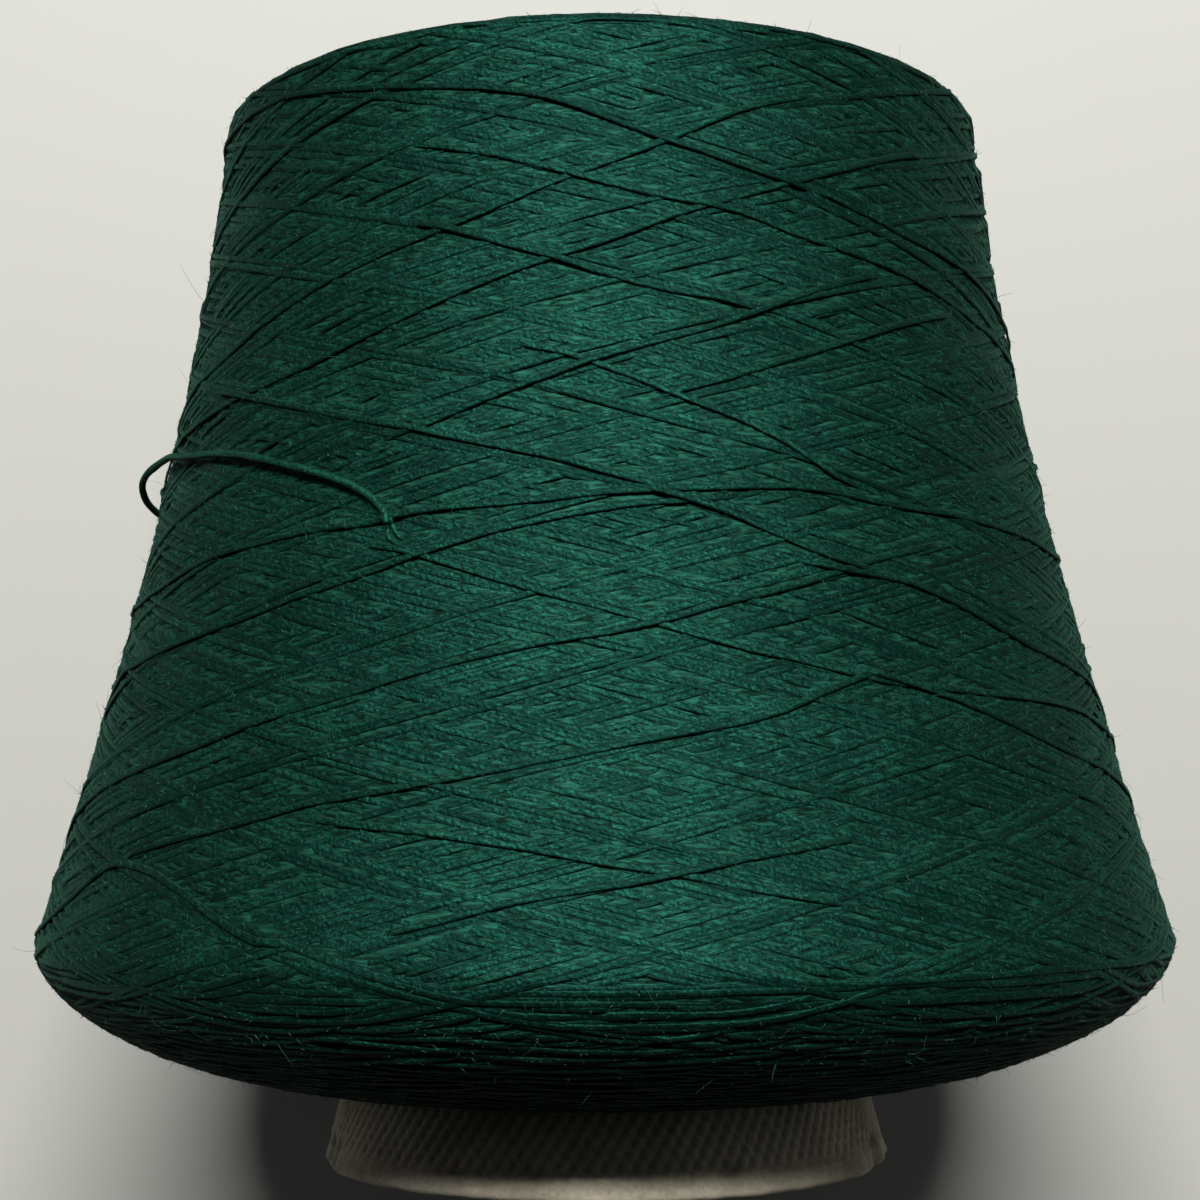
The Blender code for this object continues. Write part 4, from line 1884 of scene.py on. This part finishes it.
@dataclass
class Nap(FibreCrop):
    """The short nap: thousands of straight fibre ends, each a spike of four faces."""

    count: int = 42000
    shortest: float = 0.3
    mean_extra: float = 0.2
    longest: float = 1.3
    radius: float = 0.06
    above: float = 0.22

    def build(self, runs: list[Run], material: Material) -> Object:
        """Grows the spikes from the strands in sight.

        Args:
            runs: the package's runs.
            material: the fibres' material.

        Returns:
            The piece.
        """
        rng = np.random.default_rng(SEED + 6)
        root, out, tangent, reach = self.roots(runs, rng)
        heading = rng.uniform(0.0, TURN, (self.count, 1))
        lean = rng.uniform(0.05, 0.9, (self.count, 1))
        course = unit(out * lean + tangent * np.cos(heading) + np.cross(out, tangent) * np.sin(heading))
        across = unit(np.cross(course, out + 0.01 * tangent))
        above = np.cross(across, course)
        turn = TURN * np.arange(3) / 3.0
        ring = np.cos(turn)[:, None] * across[:, None] - np.sin(turn)[:, None] * above[:, None]
        corners = np.concatenate([root[:, None] + self.radius * ring, (root + reach * course)[:, None]], 1)
        vertices = self.surface.lie.pressed(corners.reshape(-1, 3)) * MM
        spike = np.array(((0, 2, 1), (0, 1, 3), (1, 2, 3), (2, 0, 3)))
        faces = (4 * np.arange(self.count)[:, None, None] + spike).reshape(-1, 3)
        mesh = bpy.data.meshes.new("nap_fibres")
        mesh.from_pydata(vertices.tolist(), [], faces.tolist())
        square = np.array(((0.1, 0.1), (0.9, 0.1), (0.9, 0.9), (0.1, 0.9), (0.5, 0.5)))
        cell = square[np.array(((0, 1, 4), (1, 2, 4), (2, 3, 4), (3, 0, 4)))].reshape(-1, 2)
        rows = math.ceil(math.sqrt(self.count))
        number = np.arange(self.count)
        corner = np.stack([number % rows, number // rows], 1)
        set_map(mesh, "OFBake", ((corner[:, None] + cell[None]) / rows).reshape(-1, 2))
        mesh.materials.append(material)
        piece = linked("nap_fibres", mesh)
        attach(piece, BODY)
        log.info("nap: %d fibres, %d faces", self.count, len(faces))
        return piece


@dataclass
class CardFormer:
    """The tapered card tube that the yarn is wound on, embossed with slanting ribs."""

    form: FormerForm
    lie: Lie
    turns: int = 560
    ribs: int = 124
    rib_height: float = 0.34
    rib_slant: float = 0.62
    cross_ribs: float = 0.3
    rib_mean: float = 0.6
    ribbed_from: float = 2.5
    ribbed_to: float = 15.0
    crinkle: float = 1.4
    crinkles: tuple[tuple[int, float, float], ...] = (
        (5, 0.10, 0.4), (11, 0.07, 1.9), (23, 0.06, 3.1), (37, 0.05, 0.8), (71, 0.04, 2.2),
    )
    dents: tuple[tuple[float, float, float], ...] = (
        (-76.0, 2.4, 1.3), (-69.0, 1.4, 0.7), (71.0, 3.0, 1.4), (80.0, 1.8, 0.8), (24.0, 2.0, 0.35),
        (-30.0, 2.6, 0.3),
    )

    def profile(self) -> tuple[Array, Array]:
        """Works out the closed outline of the former's wall, with its turned-in rim.

        Returns:
            The radii and the stations of the outline's corners.
        """
        form = self.form
        outer = np.concatenate([np.linspace(form.rim_round, self.ribbed_to, 28),
                                np.linspace(22.0, 146.0, 4),
                                np.linspace(151.0, form.length - form.rim_round, 16)])
        inner = np.concatenate([np.linspace(form.length - form.rim_round, 150.0, 3),
                                np.linspace(140.0, form.lip_depth + 0.6, 6)])
        rim = float(form.radius(np.float64(0.0)))
        lip = np.array((form.lip_depth, form.lip_depth - 0.3, 5.0, 3.0, 1.6, form.rim_round))
        radius = np.concatenate([
            form.radius(outer), [form.nose_radius - 0.5 * form.wall], form.radius(inner) - form.wall,
            form.radius(lip) - 2.0 * form.wall,
            [rim - 2.0 * form.wall + form.rim_round, rim - form.rim_round]])
        return radius, np.concatenate([outer, [form.length], inner, lip, [0.0, 0.0]])

    def is_outside(self, radius: Array, station: Array) -> Array:
        """Tells the places on the outer face of the wall from those on the inner one."""
        return radius > self.form.radius(station) - 0.6 * self.form.wall

    def embossed(self, azimuth: Array, radius: Array, station: Array) -> Array:
        """Gives the radii with the embossed ribs and the crinkled rim.

        Args:
            azimuth: angles round the axis, in radians.
            radius: plain distances from the axis.
            station: distances along the axis.

        Returns:
            The new distances from the axis.
        """
        mean = float(self.form.radius(np.float64(6.0)))
        slant = self.ribs * self.rib_slant / mean * station
        ribs = 0.5 + 0.5 * np.cos(self.ribs * azimuth - slant)
        crossing = 0.5 + 0.5 * np.cos(self.ribs * azimuth + 1.2 * slant)
        raised = ribs ** 0.7 + self.cross_ribs * crossing
        fade = np.clip((station - self.ribbed_from) / 1.5, 0.0, 1.0)
        fade = fade * np.clip((self.form.length - station) / 2.0, 0.0, 1.0)
        ribbed = self.is_outside(radius, station)
        lift = np.where(ribbed, self.rib_height * (raised - self.rib_mean) * fade, 0.0)
        wobble = sum(size * np.sin(lobes * azimuth + turn) for lobes, size, turn in self.crinkles)
        near_rim = np.clip((4.5 - station) / 4.0, 0.0, 1.0)
        lift = lift + self.crinkle * wobble * near_rim
        for degrees, width, depth in self.dents:
            off = (np.degrees(azimuth) - degrees + 180.0) % 360.0 - 180.0
            lift = lift - depth * np.exp(-(off / width) ** 2) * near_rim ** 0.5
        return radius + lift

    def build(self, card: Material) -> Object:
        """Makes the former by spinning its outline, then presses the ribs and crinkles into it.

        Args:
            card: the card material.

        Returns:
            The piece.
        """
        radius, station = self.profile()
        count = len(radius)
        bpy.ops.object.select_all(action="DESELECT")
        bpy.ops.mesh.primitive_circle_add(vertices=count, radius=1.0, location=(0.0, 0.0, 0.0))
        piece = bpy.context.object
        piece.name = "card_former"
        corners = np.stack([np.zeros(count), radius, station], 1)
        piece.data.vertices.foreach_set("co", corners.astype(np.float32).ravel())
        bpy.ops.object.mode_set(mode="EDIT")
        bpy.ops.mesh.select_all(action="SELECT")
        bpy.ops.mesh.spin(steps=self.turns, angle=TURN, center=(0.0, 0.0, 0.0), axis=(0.0, 0.0, 1.0))
        bpy.ops.mesh.select_all(action="SELECT")
        bpy.ops.mesh.remove_doubles(threshold=0.01)
        bpy.ops.mesh.normals_make_consistent(inside=False)
        bpy.ops.object.mode_set(mode="OBJECT")
        mesh = piece.data
        places = np.zeros(len(mesh.vertices) * 3, np.float32)
        mesh.vertices.foreach_get("co", places)
        across, up, along = places.reshape(-1, 3).astype(float).T
        azimuth = np.arctan2(across, up)
        plain = np.hypot(across, up)
        self.lay_out(mesh, azimuth, plain, along, radius, station)
        shaped = self.embossed(azimuth, plain, along)
        pressed = self.lie.placed(azimuth, shaped, along) * MM
        mesh.vertices.foreach_set("co", pressed.astype(np.float32).ravel())
        ribbed = (along > self.ribbed_from) & self.is_outside(plain, along)
        # The rib height, which the card's material turns into painted shade in the grooves.
        raised = np.clip((shaped - plain) / self.rib_height + self.rib_mean, 0.0, 1.0)
        set_values(mesh, "raised", np.where(ribbed, raised, 0.8))
        mesh.shade_smooth()
        mesh.update()
        mesh.materials.append(card)
        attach(piece, BODY)
        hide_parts("paper_cone")
        log.info("former: %d faces", len(mesh.polygons))
        return piece

    def lay_out(self, mesh: Mesh, azimuth: Array, plain: Array, along: Array,
                radius: Array, station: Array) -> None:
        """Lays the wall out flat as the piece's bake map: round it one way, along its outline the other.

        Args:
            mesh: the spun mesh.
            azimuth: each vertex's angle round the axis.
            plain: each vertex's distance from the axis.
            along: each vertex's distance along the axis.
            radius: the outline's radii.
            station: the outline's stations.
        """
        count = len(radius)
        apart = (plain[:, None] - radius[None]) ** 2 + (along[:, None] - station[None]) ** 2
        number = apart.argmin(1).astype(float)
        turn = (azimuth / TURN) % 1.0
        loops = np.zeros(len(mesh.loops), np.int32)
        mesh.loops.foreach_get("vertex_index", loops)
        corners = np.stack([turn[loops], number[loops] / count], 1).reshape(-1, 4, 2)
        late = corners.max(1, keepdims=True) - corners > 0.5
        flat = 0.003 + 0.994 * (corners + late) / (1.0 + 1.0 / self.turns, 1.0)
        set_map(mesh, "OFBake", np.clip(flat, 0.0, 1.0))


def main() -> None:
    """Builds the scene: camera, loose end, package, former, then floor and light."""
    logging.basicConfig(level=logging.INFO, format="%(name)s %(relativeCreated)d ms: %(message)s")
    lie = Lie()
    surface = Surface(WoundForm(), lie)
    yarn = WoollenYarn().material()
    Viewpoint().build()
    loose_end = LooseEnd(surface)
    loose_end.build(yarn)
    WoundPackage(surface, loose_end).build(yarn)
    CardFormer(FormerForm(), lie).build(EmbossedCard().material())
    Studio().build()


if __name__ == "__main__":
    main()
